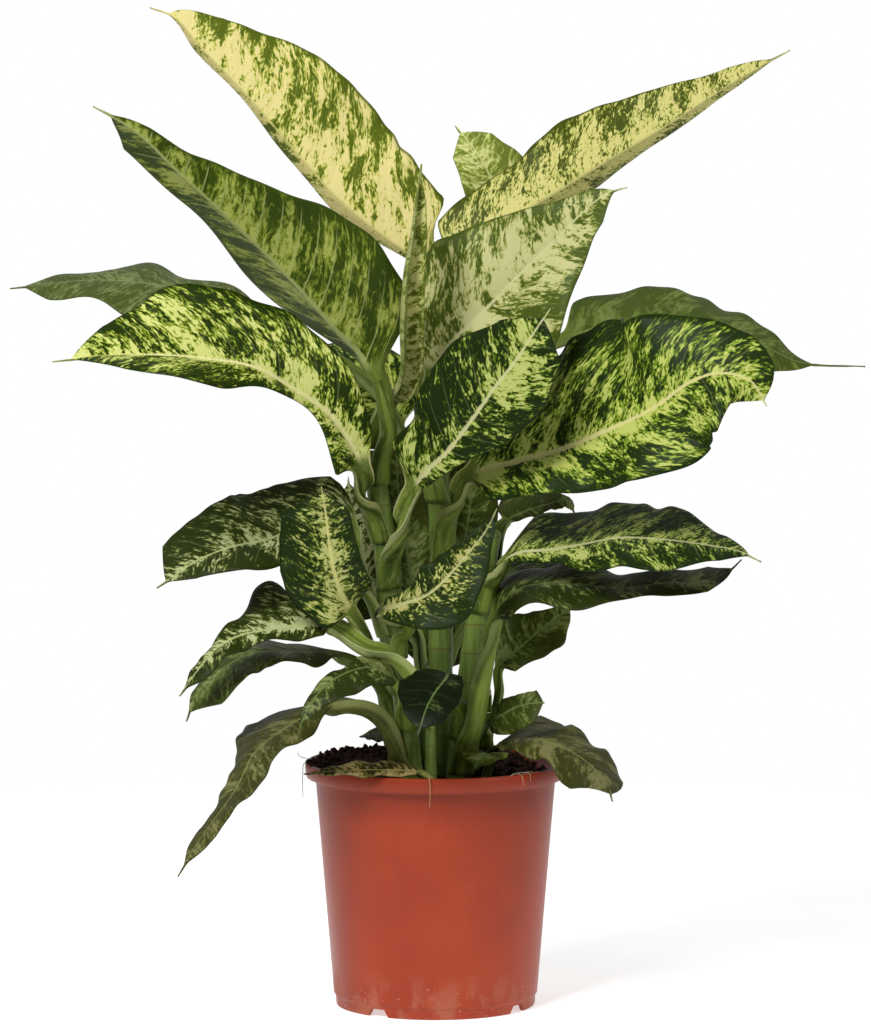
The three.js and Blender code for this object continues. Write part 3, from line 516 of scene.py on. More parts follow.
def soil_height(x, y):
    """The top of the soil, in millimetres."""
    heap = fade(y - 0.25 * x, *SOIL_HEAP)
    bumps = np.sin(x * 0.21 + 1) * np.cos(y * 0.19) + 0.6 * np.sin(x * 0.37 - y * 0.33)
    fine = np.sin(x * 1.1 + 2 * np.sin(y * 0.7)) * np.cos(y * 0.9 + 1.5 * np.sin(x * 0.5))
    edge = 1 - fade(np.hypot(x, y), *SOIL_RIM)
    return SOIL_EDGE + (SOIL_MOUND * heap + SOIL_BUMP * bumps) * edge + 0.45 * fine


def soil_top():
    """Points and faces of the heap: rings from the wall inwards, over a short side wall."""
    profile = [SOIL_FOOT, (inner - 0.5, SOIL_EDGE - 3)]
    profile += [(radius, SOIL_EDGE) for radius in np.linspace(inner - 0.5, 0.4, SOIL_RINGS)]
    points = turned(profile, SOIL_SIDES)
    top = points[2 * SOIL_SIDES:] / MM
    points[2 * SOIL_SIDES:, 2] = soil_height(top[:, 0], top[:, 1]) * MM
    return points, ring_faces(len(profile), SOIL_SIDES)


print("the soil's top is", float(round(soil_height(0, 60), 1)), "mm up behind the stems")

# %% [markdown]
# ### One crumb
# A crumb needs few faces, but it must not look like a box. An icosahedron has twelve corners
# and twenty like faces, so a squeezed and roughened one looks like a lump from every side. Its
# corners are about one unit from its middle, and three of them that are near each other make a
# face, turned so that it looks outwards.

# %% A crumb's corners and faces
GOLDEN = (1 + 5**0.5) / 2
LUMP_REACH, LUMP_EDGE = 1.9, 1.1
LUMP_POINTS = np.array(
    [(0, s, t * GOLDEN) for s in (1, -1) for t in (1, -1)]
    + [(s, t * GOLDEN, 0) for s in (1, -1) for t in (1, -1)]
    + [(t * GOLDEN, 0, s) for s in (1, -1) for t in (1, -1)]
) / LUMP_REACH


def near_each_other(a, b, c):
    pairs = ((a, b), (b, c), (a, c))
    return max(np.linalg.norm(LUMP_POINTS[i] - LUMP_POINTS[j]) for i, j in pairs) < LUMP_EDGE


LUMP_FACES = [
    (a, b, c) if np.linalg.det(LUMP_POINTS[[a, b, c]]) > 0 else (c, b, a)
    for a in range(12) for b in range(a + 1, 12) for c in range(b + 1, 12)
    if near_each_other(a, b, c)
]
print("a crumb has", len(LUMP_FACES), "faces")

# %% Make the soil
CRUMBS, RIM_CRUMBS = 900, 150
HEAPED_AZIMUTHS, HEAPED_RADII = (118, 196), (71, 84)


def lump(middle, size, rng):
    """One crumb: a small ball with twelve corners, squeezed and roughened at random."""
    squeeze = rng.uniform(0.55, 1.25, 3)
    corners = LUMP_POINTS * squeeze * rng.uniform(0.75, 1.25, (len(LUMP_POINTS), 1))
    turn = rng.uniform(0, 2 * math.pi)
    cos, sin = math.cos(turn), math.sin(turn)
    spin = np.array([[cos, -sin, 0], [sin, cos, 0], [0, 0, 1]])
    return (corners @ spin.T * size + middle) * MM


def soil_crumbs(rng):
    """Middles and sizes of the crumbs, in millimetres. Some lie heaped over the rim on the left."""
    crumbs = []
    for _ in range(CRUMBS):
        radius, turn = SOIL_RIM[1] * rng.uniform() ** 0.5, rng.uniform(0, 2 * math.pi)
        x, y = radius * math.cos(turn), radius * math.sin(turn)
        size = rng.uniform(0.7, 2.1) if rng.uniform() < 0.85 else rng.uniform(2, 3.6)
        crumbs.append((np.array([x, y, float(soil_height(x, y)) + 0.35 * size]), size))
    for _ in range(RIM_CRUMBS):
        turn = math.radians(rng.uniform(*HEAPED_AZIMUTHS))
        reach = rng.uniform(*HEAPED_RADII)
        rise = SOIL_EDGE + 2 + 0.5 * (reach - HEAPED_RADII[0]) + rng.uniform(0, 2.5)
        middle = np.array([reach * math.cos(turn), reach * math.sin(turn), rise])
        crumbs.append((middle, rng.uniform(1.2, 3.2)))
    return crumbs


def make_soil():
    rng = np.random.default_rng(11)
    points, faces = soil_top()
    points = [points]
    start = len(points[0])
    for middle, size in soil_crumbs(rng):
        points.append(lump(middle, size, rng))
        faces.extend(tuple(start + i for i in face) for face in LUMP_FACES)
        start += len(LUMP_POINTS)
    return make_piece(
        "soil_heap", np.concatenate(points), faces, [SOIL_FINISH], stands_for=["soil"],
    )


soil = make_soil()
print("soil faces:", len(soil.data.polygons))

# %% [markdown]
# ## The canes
# A dieffenbachia's stem is a juicy green cane. Each fallen leaf leaves a ring scar, so the cane
# is slightly thicker at each ring and thinner between. A bevelled curve would give a smooth
# tube; rings of points around the measured axis give the swellings and scars as well. Each
# cane starts a little below the top of the soil.

# %% The canes' drawing
CANE_FOOT = 138
CANES = {
    "left": {
        "axis": [
            (-22, 8, CANE_FOOT), (-22, 8, 154), (-25, 6, 190), (-28, 4, 231), (-32, 0, 291),
            (-38, -2, 340), (-40, -2, 362),
        ],
        "radius": (9, 7),
    },
    "centre": {
        "axis": [
            (2, 5, CANE_FOOT), (2, 5, 154), (3, 5, 231), (4, 3, 290), (2, 0, 336), (-1, 2, 369),
            (-1, 4, 392),
        ],
        "radius": (9, 7),
    },
    "right": {
        "axis": [
            (15, -14, CANE_FOOT), (15, -14, 152), (21, -16, 208), (27, -18, 253), (33, -16, 290),
            (36, -15, 312),
        ],
        "radius": (8.5, 7),
    },
    "front_left": {
        "axis": [
            (-15, -31, CANE_FOOT), (-15, -31, 152), (-20, -36, 197), (-25, -40, 230), (-28, -41, 246),
        ],
        "radius": (7.5, 6),
    },
    "front_thin": {
        "axis": [(-3, -50, CANE_FOOT), (-3, -50, 170), (-4, -50, 205)],
        "radius": (4, 3.5),
    },
    "small_right": {
        "axis": [(33, 5, CANE_FOOT), (33, 5, 160), (34, 5, 190)],
        "radius": (5, 4),
    },
    "back": {
        "axis": [
            (-5, 40, CANE_FOOT), (-5, 40, 154), (-4, 44, 227), (2, 48, 299), (7, 50, 358), (8, 52, 376),
        ],
        "radius": (8, 6),
    },
}
print(len(CANES), "canes")

# %% [markdown]
# ### Green stem skin
# The skin is fresh green with soft lengthwise streaks, clouded with a darker green, and has a
# thin brownish line at each scar. The height along the cane is noted on the points, so the
# lines follow the bend of the stem.

# %% The canes' finish
RING_GAP = 19


def cane_finish():
    material, tree, shader = new_finish("green_stem_skin", roughness=0.42, specular=0.3)
    _, (along, _, _) = noted(tree, "cane_place")
    place = object_place(tree)
    streaks = noise(tree, stretch(tree, place, (300, 300, 20)), 1, 3)
    cloud = noise(tree, place, 30, 2)
    colour = blend(tree, soft_step(tree, streaks, 0.25, 0.75), paint(76, 98, 34), paint(112, 132, 56))
    colour = blend(tree, soft_step(tree, cloud, 0.45, 0.75, 0, 0.5), colour, paint(58, 80, 28))
    ring = sum_up(tree, "PINGPONG", along, RING_GAP * MM / 2)
    scar = soft_step(tree, ring, 0.2 * MM, 0.9 * MM, 0.65, 0)
    colour = blend(tree, scar, colour, paint(92, 78, 44))
    tree.links.new(colour, shader.inputs["Base Color"])
    tree.links.new(sum_up(tree, "MULTIPLY_ADD", streaks, 0.2, 0.34), shader.inputs["Roughness"])
    emboss(tree, shader, sum_up(tree, "MULTIPLY_ADD", scar, -0.8, streaks), 0.25 * MM, 0.5)
    return material


CANE_FINISH = cane_finish()
print("finish made:", CANE_FINISH.name)

# %% Make the canes
CANE_SIDES, CANE_ROW_GAP = 36, 1.6
RING_SWELL, RING_WIDTH, WAIST = 0.045, 0.22, 0.03
ROUNDED_TOP = (0.97, 0.86, 0.6)


def cane_radius(cane, height):
    """The measured cane's radius at a height, in metres."""
    bottom, top = cane["axis"][0][2] * MM, cane["axis"][-1][2] * MM
    share = (height - bottom) / (top - bottom)
    return (cane["radius"][0] + (cane["radius"][1] - cane["radius"][0]) * share) * MM


def cane_mesh(cane):
    line = smooth_line(cane["axis"])
    along = np.linspace(0, line[1][-1], max(12, int(line[1][-1] / (CANE_ROW_GAP * MM))))
    middle = on_line(line, along)
    from_ring = np.abs((along / (RING_GAP * MM) + 0.5) % 1 - 0.5) * 2
    swell = 1 + RING_SWELL * np.exp(-((from_ring / RING_WIDTH) ** 2)) - WAIST * from_ring
    radius = cane_radius(cane, middle[:, 2]) * swell
    radius[-len(ROUNDED_TOP):] *= ROUNDED_TOP
    points = middle[:, None, :] + ring_points(CANE_SIDES) * radius[:, None, None]
    place = np.zeros(points.shape)
    place[..., 0] = along[:, None]
    return points.reshape(-1, 3), ring_faces(len(along), CANE_SIDES), place.reshape(-1, 3)


for name, cane in CANES.items():
    points, faces, place = cane_mesh(cane)
    make_piece(
        f"stem_{name}", points, faces, [CANE_FINISH], notes={"cane_place": place},
        stands_for=[f"cane_{name}"],
    )
print("canes made, rings", RING_GAP, "mm apart")

# %% [markdown]
# ## The leaves, as drawn
# Each leaf is one entry: the cane that carries it and the heights between which its sheath
# clasps that cane, the thickness of its stalk, the points of its stalk and midrib, where its
# upper face looks at the base and at the tip, and for the left and the right half five widths
# from base to tip (or only the greatest one, for hidden and tiny leaves), the lift at the
# midrib and the bend to the margin. The list is the same as the measured plant's, with a finish
# for each leaf. A reader could also draw each leaf by hand in edit mode, but then thirty-seven
# leaves would be thirty-seven separate jobs.

# %% Sizes that all the leaves share
TIP_THREAD, WAVES = 0.05, 3.3
BLADE_RISE, BLADE_FALL = 0.55, 0.8
SHEATH_ANGLE, SHEATH_TAPER, SHEATH_CLEARANCE = 80, 0.42, 0.5
SHEATH_THICK, SHEATH_FADE = 0.8, 24
STALK_DEPTH = 1.2
print("a sheath reaches", SHEATH_ANGLE, "degrees round the cane to each side")

# %% [markdown]
# ### The upper leaves
# Ten leaves, most of them large, rise from the upper parts of the canes and give the plant its
# outline. The two cream ones stand highest. The olive one at the left shows its underside, so
# its upper face looks away from the viewer. The spear is a young leaf that is still rolled, so
# both its halves bend by ninety degrees.

# %% The upper leaves
LEAVES = [
    {
        "name": "cream_left", "finish": "cream", "slot": "leaf_cream", "stalk": 4.8,
        "cane": "centre", "seat": (377, 390),
        "petiole": [(-8, 14, 404), (-6, 24, 442)],
        "blade": [
            (2, 38, 474), (-14, 34, 485), (-34, 33, 499), (-62, 34, 522), (-91, 40, 554),
            (-124, 46, 592), (-153, 52, 622), (-170, 56, 641), (-187, 58, 648),
        ],
        "face": ((0.3, -1, 0.2), (0.1, -1, 0.3)),
        "edge": ((7, 17, 14, 10, 10), (48, 57, 61, 51, 25)),
        "lift": (-75, 0), "curl": (-10, -8), "wave": 2.5,
    },
    {
        "name": "olive_left", "finish": "olive", "slot": "leaf_green", "stalk": 5.2,
        "cane": "left", "seat": (340, 357),
        "petiole": [(-31, -14, 374), (-32, -19, 392)],
        "blade": [
            (-36, -22, 411), (-67, -34, 447), (-99, -46, 483), (-131, -58, 515), (-162, -68, 544),
            (-190, -76, 571), (-216, -80, 586),
        ],
        "face": ((0.3, 1, 0.3), (0.1, 1, 0.4)),
        "edge": ((52, 58, 43, 21, 8), (13, 42, 35, 26, 30)),
        "lift": (4, 42), "curl": (10, -8), "wave": 3,
    },
    {
        "name": "far_left", "finish": "grey_green_and_sheen", "slot": "leaf_green", "stalk": 4.4,
        "cane": "back", "seat": (294, 312),
        "petiole": [(-14, 54, 350), (-34, 66, 392), (-66, 76, 418)],
        "blade": [
            (-100, 84, 432), (-133, 92, 453), (-183, 100, 464), (-223, 108, 467), (-260, 114, 464),
            (-284, 118, 461),
        ],
        "face": ((0, -0.4, 0.9), (0, -0.3, 0.9)),
        "edge": ((22, 36, 38, 27, 17), (12, 26, 39, 41, 20)),
        "lift": (0, 0), "curl": (-20, -20), "wave": 4,
    },
    {
        "name": "big_left", "finish": "lime_bright", "slot": "leaf_lime", "stalk": 6.2,
        "cane": "left", "seat": (302, 320),
        "petiole": [(-45, -15, 334)],
        "blade": [
            (-46, -28, 349), (-54, -36, 367), (-70, -48, 390), (-93, -62, 407), (-114, -74, 420),
            (-149, -88, 427), (-186, -102, 430), (-220, -112, 429), (-240, -116, 427),
        ],
        "face": ((0.2, -0.95, -0.1), (0.1, -0.8, 0.7)),
        "edge": ((32, 10, 25, 58, 49), (18, 37, 45, 51, 23)),
        "lift": (65, 0), "curl": (-30, -10), "wave": 3,
    },
    {
        "name": "spear", "finish": "young", "slot": "leaf_lime", "stalk": 5.5,
        "petiole": [(-40, -2, 363), (-39.5, -2, 371)],
        "blade": [
            (-31, -4, 391), (-21, -24, 412), (-19, -46, 448), (-17, -54, 477), (-13, -54, 506),
            (-9, -51, 549),
        ],
        "face": ((0.4, -1, 0), (0.4, -1, 0)),
        "edge": ((7, 14, 17, 14, 8), (13, 17, 17, 14, 8)),
        "lift": (20, 20), "curl": (90, 90), "wave": 0,
    },
    {
        "name": "top_back", "finish": "pale_green", "slot": "leaf_lime", "stalk": 3.6,
        "cane": "back", "seat": (338, 352),
        "petiole": [(22, 62, 388), (36, 65, 425)],
        "blade": [(50, 68, 456), (48, 78, 495), (41, 86, 525), (28, 92, 551), (13, 98, 570)],
        "face": ((0.2, -1, 0.4), (0.2, -1, 0.5)),
        "edge": ((14, 19, 22, 22, 17), (22, 28, 28, 28, 16)),
        "lift": (5, 5), "curl": (5, 5), "wave": 1.5,
    },
    {
        "name": "cream_right", "finish": "speckle_and_shade", "slot": "leaf_cream", "stalk": 4.8,
        "cane": "centre", "seat": (352, 367),
        "petiole": [(14, 10, 386), (16, 22, 439)],
        "blade": [
            (12, 22, 470), (26, 30, 488), (49, 36, 509), (81, 42, 529), (114, 50, 549), (147, 58, 568),
            (183, 66, 591), (211, 72, 608), (233, 76, 620),
        ],
        "face": ((-0.2, -1, 0.4), (-0.1, -1, 0.5)),
        "edge": ((36, 34, 42, 28, 12), (12, 27, 24, 13, 9)),
        "lift": (0, -80), "curl": (-8, -15), "wave": 2.5,
    },
    {
        "name": "pale_centre", "finish": "misted", "slot": "leaf_cream", "stalk": 5.2,
        "cane": "centre", "seat": (329, 347),
        "petiole": [(-5, -10, 364), (-5, -14, 386)],
        "blade": [
            (-3, -16, 408), (9, -24, 432), (29, -32, 452), (51, -40, 475), (73, -46, 497),
            (92, -50, 516), (109, -52, 530), (122, -52, 534),
        ],
        "face": ((-0.2, -1, 0.15), (-0.2, -1, 0.4)),
        "edge": ((27, 54, 47, 30, 12), (32, 57, 57, 34, 17)),
        "lift": (4, 28), "curl": (-6, -20), "wave": 2.5,
    },
    {
        "name": "right_back", "finish": "plain", "slot": "leaf_green", "stalk": 4.4,
        "cane": "back", "seat": (312, 328),
        "petiole": [(22, 45, 356), (38, 48, 394), (60, 54, 422)],
        "blade": [
            (82, 62, 431), (122, 70, 440), (162, 78, 442), (195, 86, 434), (222, 92, 422),
            (242, 96, 413), (286, 100, 410),
        ],
        "face": ((0, -0.45, 0.9), (0.2, -0.3, 1)),
        "edge": ((34, 40, 38, 34, 16), (29, 40, 40, 36, 11)),
        "lift": (10, -10), "curl": (-10, -25), "wave": 2.5,
        "thread": 0.16,
    },
    {
        "name": "big_right", "finish": "lime", "slot": "leaf_lime", "stalk": 5.8,
        "cane": "centre", "seat": (286, 308),
        "petiole": [(8, -13, 322), (12, -23, 333)],
        "blade": [
            (18, -32, 347), (49, -50, 358), (80, -68, 368), (112, -86, 383), (136, -102, 396),
            (160, -114, 414), (177, -121, 420), (196, -126, 416), (207, -130, 400),
        ],
        "face": ((-0.1, -0.85, 0.5), (0, -0.9, 0.4)),
        "edge": ((45, 62, 74, 58, 30), (25, 32, 42, 48, 42)),
        "lift": (0, 18), "curl": (-6, -20), "wave": 3,
        "thread": 0.02,
    },
]
print("leaves so far:", len(LEAVES))

# %% [markdown]
# ### The middle leaves
# Four leaves stand in front of the canes: one rises across the middle, one leans out to the
# left, and two smaller ones turn up at the front. Their pale centres stand out, as the inside
# of the plant behind them is dark.

# %% The middle leaves
LEAVES += [
    {
        "name": "centre_front", "finish": "lime_dark", "slot": "leaf_green", "stalk": 5.4,
        "cane": "left", "seat": (272, 290),
        "petiole": [(-26, -20, 304), (-23, -32, 322)],
        "blade": [
            (-16, -42, 339), (-7, -54, 352), (7, -67, 366), (23, -82, 388), (38, -94, 410),
            (52, -103, 429), (62, -108, 445), (72, -110, 460),
        ],
        "face": ((-0.2, -1, 0.2), (-0.1, -1, 0.4)),
        "edge": ((29, 35, 41, 38, 23), (8, 13, 27, 33, 26)),
        "lift": (6, 6), "curl": (-8, -12), "wave": 2.5,
    },
    {
        "name": "mid_left", "finish": "edged", "slot": "leaf_green", "stalk": 4.8,
        "cane": "left", "seat": (240, 256),
        "petiole": [(-45, 0, 276), (-53, -8, 297)],
        "blade": [
            (-53, -15, 310), (-60, -21, 317), (-72, -30, 319), (-88, -43, 315), (-109, -56, 309),
            (-131, -66, 305), (-150, -74, 298), (-165, -80, 289), (-177, -84, 281),
        ],
        "face": ((0, -0.85, 0.5), (-0.2, -0.7, 0.7)),
        "edge": ((21, 32, 27, 28, 14), (35, 39, 43, 37, 27)),
        "lift": (30, 0), "curl": (-30, -10), "wave": 2.5,
    },
    {
        "name": "front_up_left", "finish": "lime_centre", "slot": "leaf_lime", "stalk": 4.4,
        "cane": "front_left", "seat": (208, 221),
        "petiole": [(-41, -46, 242)],
        "blade": [
            (-53, -66, 264), (-59, -76, 275), (-64, -84, 291), (-67, -88, 309), (-69, -92, 328),
            (-72, -98, 347),
        ],
        "face": ((0, -0.8, 0.5), (0, -0.9, 0.1)),
        "edge": ((22, 32, 33, 31, 28), (14, 23, 22, 20, 18)),
        "lift": (0, 40), "curl": (-10, -10), "wave": 2,
    },
    {
        "name": "front_up_right", "finish": "lime_base", "slot": "leaf_green", "stalk": 4.4,
        "cane": "front_left", "seat": (231, 243),
        "petiole": [(-18, -54, 254)],
        "blade": [
            (-36, -62, 264), (-20, -74, 270), (-3, -82, 278), (9, -86, 290), (21, -88, 304),
            (32, -87, 318), (39, -84, 332),
        ],
        "face": ((-0.2, -0.75, 0.6), (-0.3, -0.8, 0.4)),
        "edge": ((6, 11, 16, 10, 6), (10, 22, 30, 20, 7)),
        "lift": (35, 0), "curl": (-10, -10), "wave": 2,
    },
]
print("leaves so far:", len(LEAVES))

# %% [markdown]
# ### The lower leaves
# Ten older leaves lean out from the lower parts of the canes. The oldest ones droop, to beside
# the pot at the left and over its rim at the right. They get less light and are darker.

# %% The lower leaves
LEAVES += [
    {
        "name": "low_left_upper", "finish": "edged", "slot": "leaf_green", "stalk": 6,
        "cane": "front_thin", "seat": (187, 202),
        "petiole": [(-13, -56, 222), (-27, -60, 238), (-44, -67, 243)],
        "blade": [
            (-65, -64, 256), (-84, -72, 256), (-105, -80, 254), (-124, -87, 251), (-139, -93, 243),
            (-151, -98, 229), (-162, -100, 214),
        ],
        "face": ((0, -0.6, 0.8), (-0.5, -0.5, 0.7)),
        "edge": ((12, 12, 11, 14, 9), (34, 46, 19, 8, 5)),
        "lift": (10, 5), "curl": (-30, -10), "wave": 2.5,
    },
    {
        "name": "low_left_lower", "finish": "shade", "slot": "leaf_green", "stalk": 4.6,
        "cane": "left", "seat": (168, 188),
        "petiole": [(-33, -8, 207), (-44, -13, 222)],
        "blade": [
            (-59, -16, 230), (-87, -36, 235), (-119, -52, 235), (-141, -62, 223), (-154, -68, 208),
            (-159, -70, 194),
        ],
        "face": ((0, -0.35, 0.95), (-0.6, -0.4, 0.6)),
        "edge": ((9, 25, 20, 30, 30), (54, 47, 36, 23, 9)),
        "lift": (10, -5), "curl": (-20, -20), "wave": 2.5,
    },
    {
        "name": "front_small", "finish": "dark", "slot": "leaf_green", "stalk": 3.2,
        "cane": "front_left", "seat": (184, 194),
        "petiole": [(-20, -58, 208)],
        "blade": [
            (-25, -75, 221), (-37, -84, 230), (-52, -95, 230), (-70, -108, 221), (-82, -116, 204),
            (-86, -118, 193),
        ],
        "face": ((0, -0.35, 0.95), (-0.4, -0.7, 0.5)),
        "edge": ((16, 21, 19, 15, 5), (17, 11, 6, 6, 4)),
        "lift": (0, 10), "curl": (-15, -15), "wave": 1.5,
    },
    {
        "name": "front_dark", "finish": "sheen", "slot": "leaf_green", "stalk": 3.2,
        "cane": "right", "seat": (176, 192),
        "petiole": [(12, -36, 208)],
        "blade": [(9, -50, 222), (6, -72, 221), (0, -94, 216), (-6, -112, 207), (-11, -122, 192)],
        "face": ((0.1, -0.5, 0.85), (-0.1, -0.7, 0.7)),
        "edge": ((9, 13, 16, 18, 13), (16, 19, 23, 22, 13)),
        "lift": (5, 10), "curl": (-15, -10), "wave": 1.5,
    },
    {
        "name": "droop_left", "finish": "aged", "slot": "leaf_green", "stalk": 7,
        "cane": "front_left", "seat": (157, 167),
        "petiole": [(-29, -39, 189), (-40, -46, 201), (-54, -53, 206)],
        "blade": [
            (-66, -58, 205), (-91, -78, 194), (-114, -96, 178), (-126, -110, 156), (-138, -120, 140),
            (-151, -128, 122), (-162, -134, 104),
        ],
        "face": ((-0.5, -0.2, 0.8), (-0.8, -0.3, 0.4)),
        "edge": ((14, 30, 21, 16, 10), (50, 46, 17, 14, 10)),
        "lift": (-5, 10), "curl": (-15, -15), "wave": 2,
    },
    {
        # Painted shade: this leaf takes the darker lime paints because the light from above falls on it
        # fully.
        "name": "right_shelf", "finish": "lime_dark", "slot": "leaf_lime", "stalk": 5.2,
        "cane": "right", "seat": (258, 277),
        "petiole": [(38, -30, 283)],
        "blade": [
            (40, -34, 290), (52, -42, 299), (72, -50, 302), (95, -62, 307), (116, -74, 312),
            (144, -84, 312), (172, -91, 309), (193, -94, 305), (206, -96, 299),
        ],
        "face": ((0, -0.45, 0.9), (0.2, -0.4, 0.9)),
        "edge": ((48, 54, 51, 40, 18), (8, 19, 33, 31, 15)),
        "lift": (5, 0), "curl": (-10, -20), "wave": 2.5,
    },
    {
        "name": "right_under", "finish": "dark", "slot": "leaf_green", "stalk": 6.2,
        "cane": "right", "seat": (153, 172),
        "petiole": [(25, -34, 190), (29, -37, 222)],
        "blade": [
            (35, -42, 254), (50, -47, 275), (72, -52, 281), (96, -57, 280), (121, -61, 279),
            (144, -63, 282), (169, -66, 284), (185, -68, 289), (195, -70, 298),
        ],
        "face": ((0, -0.25, 1), (0, -0.3, 1)),
        "edge": ((36, 38, 33, 20, 24), (28, 31, 26, 13, 18)),
        "lift": (5, 0), "curl": (-10, -15), "wave": 3,
    },
    {
        "name": "right_small", "finish": "shade", "slot": "leaf_green", "stalk": 2.6,
        "cane": "small_right", "seat": (179, 187),
        "petiole": [(41, 8, 203)],
        "blade": [(41, 9, 219), (55, 10, 232), (71, 14, 245), (83, 16, 254), (90, 18, 259)],
        "face": ((-0.2, -0.7, 0.7), (0.2, -0.8, 0.6)),
        "edge": ((14, 24, 22, 12, 7), (12, 14, 17, 18, 9)),
        "lift": (10, 10), "curl": (-10, -20), "wave": 1.5,
    },
    {
        "name": "right_round", "finish": "shade", "slot": "leaf_green", "stalk": 2.2,
        "cane": "small_right", "seat": (167, 175),
        "petiole": [(31, -11, 182)],
        "blade": [(35, -20, 188), (43, -30, 193), (52, -37, 199), (61, -42, 202), (70, -45, 203)],
        "face": ((-0.1, -0.9, 0.5), (0, -0.9, 0.5)),
        "edge": ((9, 10, 9, 8, 9), (10, 14, 16, 16, 13)),
        "lift": (5, 5), "curl": (-10, -10), "wave": 1,
        "thread": 0.02,
    },
    {
        "name": "rim_droop", "finish": "aged", "slot": "leaf_green", "stalk": 3,
        "cane": "small_right", "seat": (155, 164),
        "petiole": [(37, -8, 166)],
        "blade": [
            (39, -19, 172), (52, -30, 178), (64, -40, 179), (78, -49, 176), (90, -57, 171),
            (101, -63, 163), (110, -69, 153), (113, -74, 143),
        ],
        "face": ((0, -0.4, 0.9), (0.7, -0.3, 0.5)),
        "edge": ((42, 39, 36, 34, 30), (11, 19, 20, 28, 36)),
        "lift": (0, -5), "curl": (-10, -15), "wave": 2,
    },
]
print("leaves so far:", len(LEAVES))

# %% [markdown]
# ### Small leaves and a shoot
# Three small leaves grow straight from the soil, so they have no cane and no sheath, and one
# of them lies old on the rim. Another small one hides under a large leaf at the right. A new
# shoot, still rolled, tops the short cane.

# %% Small leaves and a shoot
LEAVES += [
    {
        "name": "soil_small", "finish": "shade", "slot": "leaf_green", "stalk": 2.4,
        "petiole": [(33, -22, 140), (33, -22, 156)],
        "blade": [(35, -28, 166), (33, -38, 169), (29, -50, 167), (25, -60, 162)],
        "face": ((-0.1, -0.5, 0.9), (-0.1, -0.6, 0.8)),
        "half": (16, 16), "lift": (10, 10), "curl": (-10, -10), "wave": 1,
    },
    {
        "name": "old_on_rim", "finish": "old", "slot": "leaf_lime", "stalk": 2.6,
        "petiole": [(-1, -62, 140), (-1, -62, 154)],
        "blade": [(-7, -64, 160), (-35, -72, 163), (-64, -78, 163), (-84, -76, 161)],
        "face": ((0, -0.2, 1), (-0.2, -0.2, 1)),
        "half": (9, 12), "lift": (-5, 15), "curl": (-10, -10), "wave": 1,
    },
    {
        "name": "back_tip", "finish": "dark", "slot": "leaf_green", "stalk": 2.4,
        "petiole": [(-10, 20, 140), (-10, 20, 163)],
        "blade": [(-17, 24, 170), (-33, 31, 174), (-50, 38, 170)],
        "face": ((0, -0.4, 0.9), (-0.2, -0.4, 0.9)),
        "half": (12, 12), "lift": (5, 5), "curl": (-10, -10), "wave": 1,
    },
    {
        "name": "under_right", "finish": "shade", "slot": "leaf_green", "stalk": 3,
        "cane": "right", "seat": (288, 303),
        "petiole": [(41, -3, 311)],
        "blade": [(46, 6, 316), (58, 14, 321), (75, 16, 326), (86, 16, 328), (91, 16, 319)],
        "face": ((0, -0.4, 0.9), (0.3, -0.3, 0.9)),
        "edge": ((15, 29, 29, 15, 8), (5, 7, 8, 7, 8)),
        "lift": (0, 0), "curl": (-10, -20), "wave": 1.5,
    },
    {
        "name": "new_shoot", "finish": "young", "slot": "leaf_lime", "stalk": 2,
        "petiole": [(34, 5, 190.4), (34, 5, 196)],
        "blade": [(34, 5, 201), (33, 4, 208), (31, 3, 216)],
        "face": ((0, -1, 0), (0, -1, 0)),
        "half": (5, 5), "lift": (25, 25), "curl": (120, 120), "wave": 0,
    },
]
print("leaves so far:", len(LEAVES))

# %% [markdown]
# ### The leaves inside and behind
# Two leaves are only dark shapes inside the plant, and six more grow at its back, where the
# front view can't show them. Without them the plant would look cut off from the other sides.
# For these one greatest width is enough, and the plain outline does the rest.

